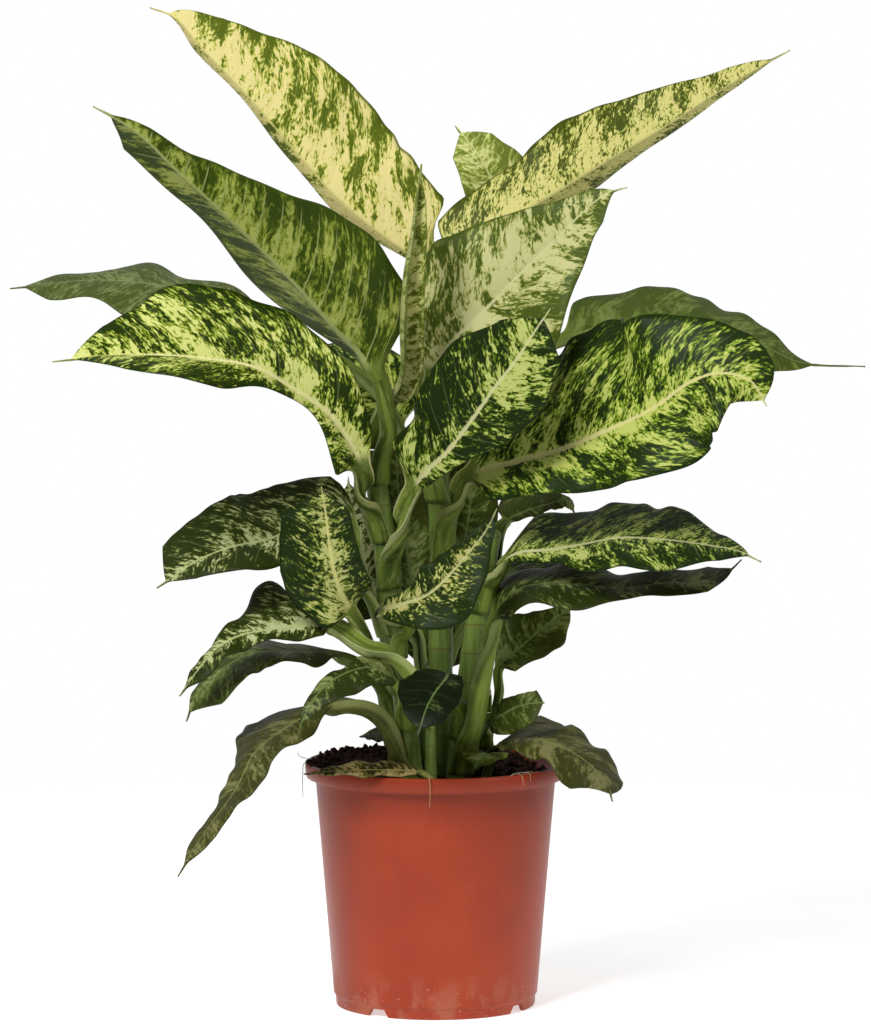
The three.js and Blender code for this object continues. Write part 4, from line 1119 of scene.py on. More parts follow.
# %% The leaves inside and behind
LEAVES += [
    {
        "name": "inner_left", "finish": "shade", "slot": "leaf_green", "stalk": 3.6,
        "cane": "centre", "seat": (222, 236),
        "petiole": [(-10, 16, 254)],
        "blade": [(-14, 18, 268), (-19, 20, 296), (-24, 22, 330), (-26, 24, 372)],
        "face": ((0.1, -1, 0.1), (0.1, -1, 0.2)),
        "half": (20, 18), "lift": (5, 5), "curl": (-10, -10), "wave": 1,
    },
    {
        "name": "inner_right", "finish": "shade", "slot": "leaf_green", "stalk": 3.6,
        "cane": "centre", "seat": (252, 266),
        "petiole": [(14, 16, 280)],
        "blade": [(17, 20, 292), (21, 24, 312), (24, 26, 338), (26, 28, 364)],
        "face": ((-0.1, -1, 0.1), (-0.1, -1, 0.2)),
        "half": (21, 19), "lift": (5, 5), "curl": (-10, -10), "wave": 1,
    },
    {
        "name": "back_high", "finish": "misted", "slot": "leaf_green", "stalk": 4,
        "cane": "back", "seat": (364, 374),
        "petiole": [(3, 70, 394), (6, 82, 420)],
        "blade": [(12, 92, 438), (16, 113, 450), (20, 133, 452), (24, 152, 441)],
        "face": ((0, -0.3, 1), (0.1, 0.3, 1)),
        "half": (38, 38), "lift": (5, 5), "curl": (-15, -15), "wave": 2.5,
    },
    {
        "name": "back_left", "finish": "lime", "slot": "leaf_green", "stalk": 4,
        "cane": "back", "seat": (270, 286),
        "petiole": [(-18, 58, 320), (-22, 66, 350)],
        "blade": [(-24, 72, 370), (-42, 86, 396), (-78, 104, 410), (-112, 116, 412), (-140, 124, 402)],
        "face": ((0.1, -0.9, 0.4), (-0.2, 0.2, 1)),
        "half": (36, 36), "lift": (5, 5), "curl": (-15, -15), "wave": 2.5,
    },
    {
        "name": "back_right", "finish": "lime_dark", "slot": "leaf_green", "stalk": 4,
        "cane": "back", "seat": (240, 256),
        "petiole": [(20, 56, 296), (38, 68, 340)],
        "blade": [(54, 78, 372), (92, 94, 392), (128, 108, 396), (158, 118, 386)],
        "face": ((0, -0.2, 1), (0.2, 0.2, 1)),
        "half": (40, 40), "lift": (5, 5), "curl": (-15, -15), "wave": 2.5,
    },
    {
        "name": "back_low_left", "finish": "edged", "slot": "leaf_green", "stalk": 3.6,
        "cane": "back", "seat": (212, 230),
        "petiole": [(-18, 52, 240)],
        "blade": [(-30, 58, 248), (-44, 64, 272), (-54, 72, 305), (-58, 82, 338)],
        "face": ((0, -1, 0.2), (0, -1, 0.2)),
        "half": (34, 34), "lift": (5, 5), "curl": (-15, -15), "wave": 2,
    },
    {
        "name": "back_low_right", "finish": "dark", "slot": "leaf_green", "stalk": 3.6,
        "cane": "back", "seat": (185, 201),
        "petiole": [(14, 50, 236), (32, 58, 262)],
        "blade": [(48, 66, 276), (80, 86, 288), (108, 102, 290), (132, 112, 282)],
        "face": ((0, -0.2, 1), (0.2, 0.2, 1)),
        "half": (34, 34), "lift": (5, 5), "curl": (-15, -15), "wave": 2,
    },
    {
        "name": "back_low", "finish": "dark", "slot": "leaf_green", "stalk": 3.4,
        "cane": "back", "seat": (165.5, 180),
        "petiole": [(-12, 66, 196)],
        "blade": [(-8, 76, 212), (0, 84, 236), (3, 92, 262), (4, 99, 286)],
        "face": ((0, -1, 0.3), (0, -1, 0.3)),
        "half": (30, 30), "lift": (0, 0), "curl": (-15, -15), "wave": 2,
    },
]
print(len(LEAVES), "leaves")

# %% [markdown]
# ### The shape of one leaf
# A leaf is a sheet that is swept along its midrib. At the bottom it wraps the cane as a sheath,
# then it closes to a channelled stalk, and then it opens to the blade, whose outline rises fast
# and narrows slowly to a drip tip. On top of the measured form come the things that a coarse
# solid can't hold: a groove along the midrib with a rib below it, a soft quilting between the
# side veins, ripples and small dents along the margin, and a margin that thins to an edge.

# %% The blade's outline
def plain_width(half, u):
    """A half's width at each share u of the blade, where only its greatest width is known."""
    widest = BLADE_RISE / (BLADE_RISE + BLADE_FALL)
    full = (u / widest) ** BLADE_RISE * ((1 - u) / (1 - widest)) ** BLADE_FALL
    return half * full * (1 - 0.4 * fade(u, 0.82, 0.98))


def measured_width(widths, u):
    """The same on a curve through five measured widths, round at the base and at the tip."""
    place = np.clip((u - 0.1) / 0.2, 0, 4)
    first = np.minimum(place.astype(int), 3)
    a, b, c, d = (np.array(widths, dtype=float)[np.clip(first + i, 0, 4)] for i in (-1, 0, 1, 2))
    t = place - first
    between = b + 0.5 * t * (c - a + t * (2 * a - 5 * b + 4 * c - d + t * (3 * (b - c) + d - a)))
    at_base = widths[0] * np.sqrt(np.clip(u / 0.1, 0, 1))
    at_tip = widths[4] * np.clip((1 - u) / 0.1, 0, 1) ** 0.8
    return np.where(u < 0.1, at_base, np.where(u > 0.9, at_tip, between))


def half_width(leaf, side, u):
    if "edge" in leaf:
        return measured_width(leaf["edge"][side], u)
    return plain_width(leaf["half"][side], u)


print("a plain blade is widest at", round(BLADE_RISE / (BLADE_RISE + BLADE_FALL), 2), "of its length")

# %% Where a sheath starts
def unit(vectors):
    return vectors / np.linalg.norm(vectors, axis=-1, keepdims=True)


def sheath_seat(leaf):
    """The midrib's first points on the cane, the way in to its axis, and the sheath's radius."""
    cane = CANES[leaf["cane"]]
    line = smooth_line(cane["axis"])
    bottom, top = leaf["seat"]

    def axis_at(z):
        return np.array([np.interp(z * MM, line[0][:, 2], line[0][:, i]) for i in range(3)])

    def radius_at(z):
        chord = math.radians(SHEATH_ANGLE / 4)
        return (cane_radius(cane, z * MM) + SHEATH_CLEARANCE * MM) / math.cos(chord)

    first = (leaf["petiole"] or leaf["blade"])[0]
    out = np.array(first) * MM - axis_at(top)
    out[2] = 0
    out = unit(out)
    heights = (bottom, (bottom + top) / 2, top)
    points = [(axis_at(z) + out * radius_at(z)) / MM for z in heights]
    return points, -out, radius_at((bottom + top) / 2)


first_seat = sheath_seat(LEAVES[0])
print("the first sheath's radius:", round(float(first_seat[2] / MM), 1), "mm")

# %% A leaf's rows and faces
COLUMNS, COLUMN_CURVE = 29, 1.15
ROW_GAP = 2.4


def row_lengths(sheath_end, blade_start, total, thread):
    """Where along the midrib the rows of points lie."""
    blade_end = blade_start + (total - blade_start) * (1 - thread)
    stops = (0, sheath_end, blade_start, blade_end, total)
    rows = [
        np.linspace(a, b, max(3, int((b - a) / (ROW_GAP * MM))), endpoint=False)
        for a, b in zip(stops, stops[1:]) if b > a
    ]
    return np.concatenate([*rows, [total]])


def grid_faces(rows, columns):
    """Upper faces, lower faces and the faces round the edge of two like grids of points."""
    r, c = np.meshgrid(np.arange(rows - 1), np.arange(columns - 1), indexing="ij")
    a = (r * columns + c).ravel()
    upper = np.stack([a, a + 1, a + columns + 1, a + columns], axis=-1)
    lower = upper[:, ::-1] + rows * columns
    r = np.arange(rows - 1) * columns
    left = np.stack([r, r + columns, r + columns + rows * columns, r + rows * columns], axis=-1)
    r = r + columns - 1
    right = np.stack([r + columns, r, r + rows * columns, r + columns + rows * columns], axis=-1)
    c = np.arange(columns - 1)
    start = np.stack([c + 1, c, c + rows * columns, c + 1 + rows * columns], axis=-1)
    c = c + (rows - 1) * columns
    end = np.stack([c, c + 1, c + 1 + rows * columns, c + rows * columns], axis=-1)
    faces = np.concatenate([upper, lower, left, right, start, end])
    worn = np.zeros(len(faces), dtype=np.int32)
    worn[len(upper):len(upper) + len(lower)] = 1
    return faces, worn


print("a leaf has", COLUMNS, "points across and a row every", ROW_GAP, "mm")

# %% The rows of one leaf
def leaf_rows(leaf):
    """Along the leaf: lengths, centres, directions, and how far each part has begun."""
    start, inward, radius = sheath_seat(leaf) if leaf.get("seat") else ([], None, 0)
    points = [*start, *leaf["petiole"], *leaf["blade"]]
    line = smooth_line(points)
    sheath_end = line[1][2 * LINE_STEPS] if len(start) else 0.0
    blade_start = line[1][(len(start) + len(leaf["petiole"])) * LINE_STEPS]
    thread = leaf.get("thread", TIP_THREAD)
    length = row_lengths(sheath_end, blade_start, line[1][-1], thread)
    u = np.clip((length - blade_start) / (line[1][-1] - blade_start), 0, 1)
    faces = [unit(np.array(face, dtype=float)) for face in leaf["face"]]
    inward = faces[0] if inward is None else inward
    up = fade(length, sheath_end, blade_start)[:, None]
    normal = inward * (1 - up) + faces[0] * up
    normal = normal * (1 - u[:, None]) + faces[1] * u[:, None]
    tangent = heading(line, length)
    normal = unit(normal - tangent * np.sum(normal * tangent, axis=-1, keepdims=True))
    clasp = np.zeros(len(length))
    if len(start):
        clasp = 1 - fade(length, sheath_end, sheath_end + SHEATH_FADE * MM)
    return {
        "length": length[:, None], "u": u[:, None], "blade_start": blade_start,
        "begun": np.minimum(length / max(sheath_end, 1e-6), 1)[:, None],
        "blade_u": np.clip(u / (1 - thread), 0, 1)[:, None],
        "in_thread": fade(u, 1 - thread, 1)[:, None],
        "clasp": clasp[:, None], "flat": fade(u, 0, 0.1)[:, None],
        "normal": normal, "across": np.cross(tangent, normal), "centre": on_line(line, length),
        "radius": radius,
    }


def leaf_columns():
    """Across the leaf: the side, its sign, and the share of the way out to the margin."""
    even = np.linspace(-1, 1, COLUMNS)
    share = np.abs(even) ** COLUMN_CURVE
    return {"side": (even > 0).astype(int), "sign": np.where(even < 0, -1.0, 1.0), "share": share}


print("the first leaf has", len(leaf_rows(LEAVES[0])["length"]), "rows")

# %% [markdown]
# ### The middle sheet
# The blade is worked out flat first: each half bends by its own angle, and the wave, the
# ripples and the quilting are heights above it. Then the stalk's channel takes over towards the
# base, and the clasp of the sheath below that. Blending the three, and not joining them, is
# what keeps the leaf one smooth sheet.

# %% Sweep the middle sheet
VEIN_GAP, VEIN_SLANT, VEIN_BEND = 15.5, 0.42, 7.0
DENT, RIPPLE, QUILT = 0.018, 0.4, 0.32


def blade_surface(leaf, rows, columns, rng):
    """Across and up from the midrib at each point of the blade, and where it lies among the veins."""
    side, share = columns["side"], columns["share"]
    u, blade_u, in_thread = rows["u"], rows["blade_u"], rows["in_thread"]
    lift, curl = (np.array(leaf[key], dtype=float)[side] for key in ("lift", "curl"))
    dents = 0
    for _ in range(4):
        height, pace, shift = rng.uniform(0.2, 0.5), rng.uniform(3, 11), rng.uniform()
        dents = dents + height * np.sin(2 * math.pi * (pace * u + shift + 0.5 * side))
    width = np.where(side == 0, half_width(leaf, 0, blade_u), half_width(leaf, 1, blade_u))
    width = width * (1 + DENT * dents)
    width = np.maximum(width, 0.6 - 0.3 * in_thread) * MM
    start, bend = np.radians(lift), np.radians(curl)
    bend = np.where(np.abs(bend) < 1e-3, 1e-3, bend)
    end = start + bend * share
    across = width * (np.sin(end) - np.sin(start)) / bend
    height = width * (np.cos(start) - np.cos(end)) / bend
    swing = leaf["wave"] * MM * np.sin(math.pi * u)
    wave = swing * share**2 * np.sin(2 * math.pi * (WAVES * u + 0.4 * side))
    ripple = RIPPLE * swing * share**4 * dents
    distance = width * share
    vein = rows["length"] - rows["blade_start"] - VEIN_SLANT * distance - VEIN_BEND * distance**2
    quilt = min(QUILT * MM, 0.006 * width.max()) * np.abs(np.sin(math.pi * vein / (VEIN_GAP * MM)))
    quilt = quilt * fade(share, 0.02, 0.2) * (1 - fade(share, 0.85, 1))
    quilt = quilt * fade(blade_u, 0.04, 0.15) * (1 - fade(blade_u, 0.85, 0.97))
    return across, height + wave + ripple + quilt, distance, vein


def middle_sheet(leaf, rows, columns, across, height):
    """The blade's sheet, closed to a channel along the stalk and wrapped round the cane below."""
    share, flat, clasp = columns["share"], rows["flat"], rows["clasp"]
    stalk_x = leaf["stalk"] * MM * (1 - 0.25 * rows["u"]) * share
    stalk_h = 0.8 * MM * share**2
    x = stalk_x + (across - stalk_x) * flat
    h = stalk_h + (height - stalk_h) * flat
    angle = math.radians(SHEATH_ANGLE) * (1 - SHEATH_TAPER * rows["begun"]) * share
    x = x + (rows["radius"] * np.sin(angle) - x) * clasp
    h = h + (rows["radius"] * (1 - np.cos(angle)) - h) * clasp
    return (
        rows["centre"][:, None, :]
        + rows["across"][:, None, :] * (columns["sign"] * x)[..., None]
        + rows["normal"][:, None, :] * h[..., None]
    )


print("side veins are", VEIN_GAP, "mm apart")

# %% [markdown]
# ### Upper and lower face
# A solidify modifier gives one thickness all over. A real leaf is thick at the midrib and the
# stalk and thin at its margin, so both faces are moved away from the middle sheet by amounts
# that change from point to point. The places along the veins and across the blade are noted on
# the points, for the finish to read.

# %% Give the sheet its thickness
MARGIN_HALF, MARGIN_THINNED = 0.45, 0.22
RIB_WIDTHS, RIB_HEIGHT, GROOVE_DEPTH = (1.0, 2.6), 1.9, 0.55


def leaf_depths(leaf, rows, columns, distance):
    """How far the upper face lies above the middle sheet, and the lower one below it."""
    u, blade_u, flat, share = rows["u"], rows["blade_u"], rows["flat"], columns["share"]
    begun, clasp = rows["begun"], rows["clasp"]
    round_off = np.sqrt(np.clip(1 - share**2, 0, 1))
    stalk = 0.5 + 0.3 * round_off + STALK_DEPTH * leaf["stalk"] * round_off * (1 - 0.3 * u)
    rib_width = (RIB_WIDTHS[0] + RIB_WIDTHS[1] * (1 - blade_u)) * MM
    rib = RIB_HEIGHT * (1 - 0.75 * blade_u) * np.exp(-((distance / rib_width) ** 2))
    rib = rib * (1 - rows["in_thread"])
    groove = GROOVE_DEPTH * (1 - blade_u) * np.exp(-((distance / (0.6 * rib_width)) ** 2))
    margin = MARGIN_HALF - MARGIN_THINNED * fade(share, 0.86, 1)
    sheath = 0.35 + 0.35 * round_off + SHEATH_THICK * leaf["stalk"] * round_off * begun
    below = stalk + (margin + rib - stalk) * flat
    below = below + (sheath - below) * clasp
    return (margin - groove) * flat * MM, below * MM


def on_both_faces(*values):
    """Three values for each point, the same on the upper and the lower face."""
    note = np.stack(np.broadcast_arrays(*values), axis=-1)
    return np.concatenate([note.reshape(-1, 3)] * 2)


def leaf_mesh(leaf, seed):
    rows, columns = leaf_rows(leaf), leaf_columns()
    across, height, distance, vein = blade_surface(leaf, rows, columns, np.random.default_rng(seed))
    sheet = middle_sheet(leaf, rows, columns, across, height)
    normal = unit(np.cross(np.gradient(sheet, axis=1), np.gradient(sheet, axis=0)))
    above, below = leaf_depths(leaf, rows, columns, distance)
    upper = sheet + normal * above[..., None]
    lower = sheet - normal * below[..., None]
    opened = rows["flat"] * (1 - rows["clasp"])
    notes = {
        "vein_place": on_both_faces(vein, columns["sign"] * distance, seed * 0.37),
        "leaf_place": on_both_faces(columns["share"], rows["blade_u"], opened),
    }
    faces, worn = grid_faces(*sheet.shape[:2])
    points = np.concatenate([upper.reshape(-1, 3), lower.reshape(-1, 3)])
    return {"points": points, "faces": faces, "worn": worn, "notes": notes}


sample = leaf_mesh(LEAVES[0], 0)
print("one leaf has", len(sample["points"]), "points")

# %% [markdown]
# ## The marbling
# This plant's leaves are marbled: streaks of lime or cream that run along the side veins,
# flecks between them, whole patches of green, and a green margin. A painted image would fit one
# leaf only. Here the marbling is noise that is read in the leaf's own directions, along the
# midrib and along its slanting side veins, so each leaf gets its own marbling that follows its
# veins. Each finish is a recipe: its colours, how strongly streaks, flecks and patches show,
# how much of the leaf is pale, how far the pale part keeps from the margin, how much paler the
# leaf gets beside its midrib, and how wide the midrib's pale band is, in millimetres.

# %% Cream and misted recipes
FRESH_STALK = ((60, 78, 24), (116, 132, 54))
OLD_STALK = ((42, 48, 20), (82, 86, 40))
LEAF_RECIPES = {
    "cream": {
        "deep": (80, 94, 18), "green": (118, 130, 42), "streak": (188, 186, 92), "pale": (216, 204, 136),
        "weights": (0.55, 0.6, 0.95), "amount": 0.9, "margin": 1.15, "rib_pull": 0.2,
        "rib": (196, 190, 118), "band": 1.0,
    },
    # Partly painted shade: cream_right faces the light, so these paints are darker than cream's, besides
    # its denser green speckle.
    "speckle_and_shade": {
        "deep": (62, 72, 10), "green": (96, 106, 30), "streak": (164, 166, 84), "pale": (196, 190, 116),
        "weights": (0.6, 0.75, 0.7), "amount": 0.78, "margin": 1.1, "rib_pull": 0.5,
        "rib": (190, 184, 118), "band": 1.0,
    },
    "misted": {
        "deep": (68, 82, 24), "green": (100, 114, 44), "streak": (156, 158, 90), "pale": (184, 184, 128),
        "weights": (0.6, 0.55, 0.8), "amount": 0.85, "margin": 1.7, "rib_pull": 0.4,
        "rib": (190, 190, 138), "band": 1.6,
    },
    "pale_green": {
        "deep": (106, 118, 42), "green": (134, 146, 62), "streak": (162, 172, 88),
        "pale": (204, 206, 134),
        "weights": (0.6, 0.5, 0.6), "amount": 0.3, "margin": 0.8, "rib_pull": 0.5,
        "rib": (196, 200, 134), "band": 1.2,
    },
}
print("recipes so far:", len(LEAF_RECIPES))

# %% [markdown]
# ### Lime recipes
# Most leaves are dark green with lime flecks. They differ in how much of the leaf is lime, and
# where: a positive amount makes the leaf paler, a high margin value keeps the lime near the
# middle, and a green tip keeps the outer part dark. An edged leaf is nearly all green, with
# lime along its midrib only.

# %% Lime recipes
LEAF_RECIPES |= {
    "lime": {
        "deep": (26, 42, 6), "green": (76, 98, 18), "streak": (124, 146, 42), "pale": (176, 184, 96),
        "weights": (0.7, 0.65, 0.85), "amount": 0.12, "margin": 1.0, "rib_pull": 0.6,
        "rib": (196, 192, 126), "band": 2.6,
    },
    "lime_bright": {
        "deep": (32, 48, 6), "green": (92, 110, 24), "streak": (146, 162, 56), "pale": (202, 206, 124),
        "weights": (0.65, 0.65, 0.9), "amount": 0.3, "margin": 1.1, "rib_pull": 0.9,
        "rib": (216, 212, 150), "band": 3.0,
    },
    "olive": {
        "deep": (48, 64, 6), "green": (84, 98, 24), "streak": (120, 132, 48), "pale": (150, 158, 78),
        "weights": (0.5, 0.4, 0.7), "amount": 0.1, "margin": 1.2, "rib_pull": 0.4,
        "rib": (150, 158, 96), "band": 1.8,
    },
    "lime_dark": {
        "deep": (24, 38, 6), "green": (60, 80, 16), "streak": (112, 130, 44), "pale": (170, 178, 100),
        "weights": (0.7, 0.65, 0.8), "amount": -0.08, "margin": 0.7, "rib_pull": 0.5,
        "rib": (188, 188, 136), "band": 1.9,
    },
    "edged": {
        "deep": (36, 46, 8), "green": (66, 76, 26), "streak": (116, 124, 70), "pale": (168, 174, 124),
        "weights": (0.8, 0.65, 0.6), "amount": -0.45, "margin": 1.2, "rib_pull": 0.9,
        "rib": (168, 176, 118), "band": 1.7,
    },
    "lime_centre": {
        "deep": (24, 38, 6), "green": (58, 74, 16), "streak": (112, 124, 46), "pale": (168, 170, 104),
        "weights": (0.8, 0.75, 0.5), "amount": 0.4, "margin": 1.9, "rib_pull": 0.7, "green_tip": 1.0,
        "rib": (188, 186, 118), "band": 2.0,
    },
    "lime_base": {
        "deep": (26, 40, 8), "green": (58, 74, 18), "streak": (110, 122, 48), "pale": (170, 166, 104),
        "weights": (0.7, 0.85, 0.5), "amount": 0.7, "margin": 1.9, "rib_pull": 0.6, "green_tip": 2.6,
        "rib": (176, 176, 120), "band": 1.4,
    },
}
print("recipes so far:", len(LEAF_RECIPES))

# %% [markdown]
# ### Green recipes
# Leaves in the shade are green with a faint pattern. The sheen leaf is the darkest. The two
# outermost ones at the back, grey green and plain, look flat and dull, so their paints lie
# close together; their greyish tint is partly a painted sheen.

# %% Green recipes
LEAF_RECIPES |= {
    "dark": {
        "deep": (38, 46, 12), "green": (62, 72, 26), "streak": (92, 102, 52), "pale": (118, 126, 74),
        "weights": (0.7, 0.4, 0.8), "amount": -0.75, "margin": 0.6, "rib_pull": 0.6,
        "rib": (96, 112, 60), "band": 1.0,
    },
    "shade": {
        "deep": (56, 66, 20), "green": (82, 94, 36), "streak": (96, 108, 50), "pale": (124, 134, 80),
        "weights": (0.7, 0.4, 0.8), "amount": -0.7, "margin": 0.6, "rib_pull": 0.6,
        "rib": (116, 130, 76), "band": 1.0,
    },
    "sheen": {
        "deep": (12, 22, 4), "green": (26, 36, 10), "streak": (54, 64, 30), "pale": (84, 96, 54),
        "weights": (0.7, 0.4, 0.8), "amount": -1.5, "margin": 0.5, "rib_pull": 0.4,
        "rib": (104, 122, 72), "band": 0.9,
    },
    # Partly painted sheen: these greyish paints stand for a grey sheen on the leaf.
    "grey_green_and_sheen": {
        "deep": (68, 80, 32), "green": (88, 100, 50), "streak": (98, 110, 60), "pale": (114, 124, 76),
        "weights": (0.8, 0.4, 0.7), "amount": -0.3, "margin": 0.5, "rib_pull": 0.3,
        "rib": (118, 134, 84), "band": 1.0,
    },
    # Partly painted sheen: these greyish paints stand for a grey sheen on the leaf.
    "plain": {
        "deep": (64, 78, 24), "green": (82, 96, 36), "streak": (92, 106, 46), "pale": (106, 118, 60),
        "weights": (0.6, 0.3, 0.9), "amount": -0.4, "margin": 0.4, "rib_pull": 0.4,
        "rib": (112, 132, 68), "band": 1.2,
    },
}
print("recipes so far:", len(LEAF_RECIPES))

# %% [markdown]
# ### Old and young recipes
# The oldest leaves turn dull and brownish, also along their stalks, and the one on the rim is
# brown from its margin inwards, so its margin value is negative. Rolled young leaves are pale
# and soft green all over.

# %% Old and young recipes
LEAF_RECIPES |= {
    "aged": {
        "deep": (54, 56, 20), "green": (74, 76, 34), "streak": (90, 91, 48), "pale": (112, 110, 68),
        "weights": (0.6, 0.4, 0.9), "amount": -0.3, "margin": 0.2, "rib_pull": 0.4,
        "rib": (124, 124, 70), "band": 1.0, "stalk": OLD_STALK,
    },
    "old": {
        "deep": (40, 36, 14), "green": (86, 82, 40), "streak": (128, 112, 66), "pale": (150, 132, 88),
        "weights": (0.7, 0.5, 0.7), "amount": 0.0, "margin": -1.2, "rib_pull": -0.4,
        "rib": (156, 144, 86), "band": 0.8,
    },
    "young": {
        "deep": (88, 100, 36), "green": (122, 134, 52), "streak": (164, 172, 92), "pale": (208, 206, 138),
        "weights": (0.8, 0.5, 0.5), "amount": 0.6, "margin": 0.4, "rib_pull": 0.2,
        "rib": (150, 162, 90), "band": 0.8,
    },
}
print(len(LEAF_RECIPES), "recipes")

# %% [markdown]
# ### Mixing one leaf's finish
# The finish reads the two notes that every leaf carries: its place along the veins, and how far
# out and how far along the blade a point lies. The place is first pushed about a little, so
# that no streak is quite straight. The marbling is a sum of three noises with a soft threshold,
# so a pale fleck has a mid-green halo and stands on dark green. The midrib, the side veins, the
# dark line at the margin and the streaked green stalk are laid over it. The underside takes the
# same marbling with duller colours and paler veins.

# %% How pale the leaf is
NOISE_SPREAD = 0.105
STREAK_SCALES, FLECK_SCALES, PATCH_SCALES = (330, 140, 10), (660, 420, 10), (70, 40, 10)
WANDER_SCALE, WANDER_REACH = 60, 9


def wandering(tree, place, scale, reach):
    """The place pushed about by a slow noise, so that the streaks read there wander a little."""
    push = tree.nodes.new("ShaderNodeTexNoise")
    feed(tree, push.inputs["Vector"], place)
    push.inputs["Scale"].default_value = scale
    push.inputs["Detail"].default_value = 1
    node = tree.nodes.new("ShaderNodeVectorMath")
    node.operation = "MULTIPLY_ADD"
    tree.links.new(push.outputs["Color"], node.inputs[0])
    node.inputs[1].default_value = (reach, reach, 0)
    feed(tree, node.inputs[2], place)
    return node.outputs[0]


def level_noise(tree, place, factors, weight):
    """Noise about nought, scaled so that its usual swing is the given weight."""
    fine = noise(tree, stretch(tree, place, factors), 1, 2)
    return sum_up(tree, "MULTIPLY_ADD", fine, weight / NOISE_SPREAD, -0.5 * weight / NOISE_SPREAD)


def marbling(tree, place, recipe, share_out, share_along, near_rib):
    """A level about nought: dark green where it is low, pale where it is high."""
    place = wandering(tree, place, WANDER_SCALE, WANDER_REACH * MM)
    level = recipe["amount"]
    for scales, weight in zip((STREAK_SCALES, FLECK_SCALES, PATCH_SCALES), recipe["weights"]):
        level = sum_up(tree, "ADD", level, level_noise(tree, place, scales, weight))
    at_margin = sum_up(tree, "POWER", share_out, 2.5)
    level = sum_up(tree, "MULTIPLY_ADD", at_margin, -recipe["margin"], level)
    level = sum_up(tree, "MULTIPLY_ADD", share_along, -recipe.get("green_tip", 0.3), level)
    return sum_up(tree, "MULTIPLY_ADD", near_rib, recipe["rib_pull"], level)


print("flecks are about", round(1000 / FLECK_SCALES[0], 1), "mm wide")

# %% The leaf's colours
DULL_GREEN, DULL_RIB = (96, 106, 62), (140, 150, 92)


def dulled(colour, towards, share):
    return tuple(c * (1 - share) + t * share for c, t in zip(colour, towards))


def leaf_tints(name, recipe, under):
    """The recipe's paints. Those of the olive leaf are its underside's already."""
    colours = {key: recipe[key] for key in ("deep", "green", "streak", "pale", "rib")}
    if under and name != "olive":
        colours = {key: dulled(value, DULL_GREEN, 0.5) for key, value in colours.items()}
        colours["rib"] = dulled(recipe["rib"], DULL_RIB, 0.6)
    return {key: paint(*value) for key, value in colours.items()}


def marbled_colour(tree, level, tints):
    green = blend(tree, soft_step(tree, level, -0.75, -0.2), tints["deep"], tints["green"])
    light = blend(tree, soft_step(tree, level, 0.45, 1.0), tints["streak"], tints["pale"])
    return blend(tree, soft_step(tree, level, -0.05, 0.3), green, light)


def stalk_colour(tree, place, share_out, recipe, rib):
    """Soft streaks of two greens. The place across runs over half a millimetre only there."""
    streaks = noise(tree, stretch(tree, place, (20, 3200, 10)), 1, 3)
    flecks = noise(tree, stretch(tree, place, (120, 7000, 10)), 1, 2)
    dark, light = recipe.get("stalk", FRESH_STALK)
    stalk = blend(tree, soft_step(tree, streaks, 0.3, 0.66), paint(*dark), paint(*light))
    stalk = blend(tree, soft_step(tree, flecks, 0.56, 0.68, 0, 0.28), stalk, rib)
    return blend(tree, soft_step(tree, share_out, 0.76, 0.96, 0, 0.7), stalk, rib)


print("the underside's paints are drawn towards", DULL_GREEN)

# %% The leaf's finish
RIB_REACH = (1 * MM, 15 * MM)


def leaf_finish(name, recipe, under):
    material, tree, shader = new_finish(f"{name}_leaf_{'underside' if under else 'top'}", 0.42, 0.09)
    tints = leaf_tints(name, recipe, under)
    place, (vein, distance, _) = noted(tree, "vein_place")
    _, (share_out, share_along, opened) = noted(tree, "leaf_place")
    distance = sum_up(tree, "ABSOLUTE", distance)
    near_rib = soft_step(tree, distance, *RIB_REACH, 1, 0)
    level = marbling(tree, place, recipe, share_out, share_along, near_rib)
    colour = marbled_colour(tree, level, tints)

    side_vein = sum_up(tree, "PINGPONG", vein, VEIN_GAP * MM / 2)
    side_vein = soft_step(tree, side_vein, 0.15 * MM, 0.8 * MM, 0.75 if under else 0.1, 0)
    side_vein = sum_up(tree, "MULTIPLY", side_vein, soft_step(tree, share_out, 0.6, 0.95, 1, 0))
    colour = blend(tree, side_vein, colour, tints["rib"])
    fringe = noise(tree, stretch(tree, place, (420, 110, 10)), 1, 2)
    taper = sum_up(tree, "MULTIPLY_ADD", share_along, -0.75, 1.0)
    band = sum_up(tree, "MULTIPLY", taper, sum_up(tree, "MULTIPLY", fringe, 2 * recipe["band"] * MM))
    on_rib = sum_up(tree, "SUBTRACT", distance, band)
    on_rib = soft_step(tree, on_rib, -0.5 * MM, 0.6 * MM, 0.92, 0)
    colour = blend(tree, on_rib, colour, tints["rib"])
    margin = soft_step(tree, share_out, 0.95, 0.985, 0, 0.75)
    colour = blend(tree, margin, colour, tints["deep"])
    stalk = stalk_colour(tree, place, share_out, recipe, tints["rib"])
    colour = blend(tree, soft_step(tree, opened, 0.15, 0.75), stalk, colour)
    tree.links.new(colour, shader.inputs["Base Color"])

    gloss = noise(tree, stretch(tree, place, (60, 60, 10)), 1, 2)
    roughness = sum_up(tree, "MULTIPLY_ADD", gloss, 0.2, 0.42 if under else 0.36)
    tree.links.new(roughness, shader.inputs["Roughness"])
    creases = sum_up(tree, "PINGPONG", vein, VEIN_GAP * MM / 2)
    creases = soft_step(tree, creases, 0, 2.2 * MM, 0.5 if under else -0.5, 0)
    grain = noise(tree, stretch(tree, place, (900, 420, 10)), 1, 2)
    emboss(tree, shader, sum_up(tree, "MULTIPLY_ADD", grain, 0.35, creases), 0.4 * MM, 0.5)
    return material


LEAF_FINISHES = {
    name: [leaf_finish(name, recipe, False), leaf_finish(name, recipe, True)]
    for name, recipe in LEAF_RECIPES.items()
}
print(len(LEAF_FINISHES), "leaf finishes, each with a top and an underside")

# %% [markdown]
# ### Growing the leaves
# Each leaf gets its own seed, so no two have the same dents or marbling.

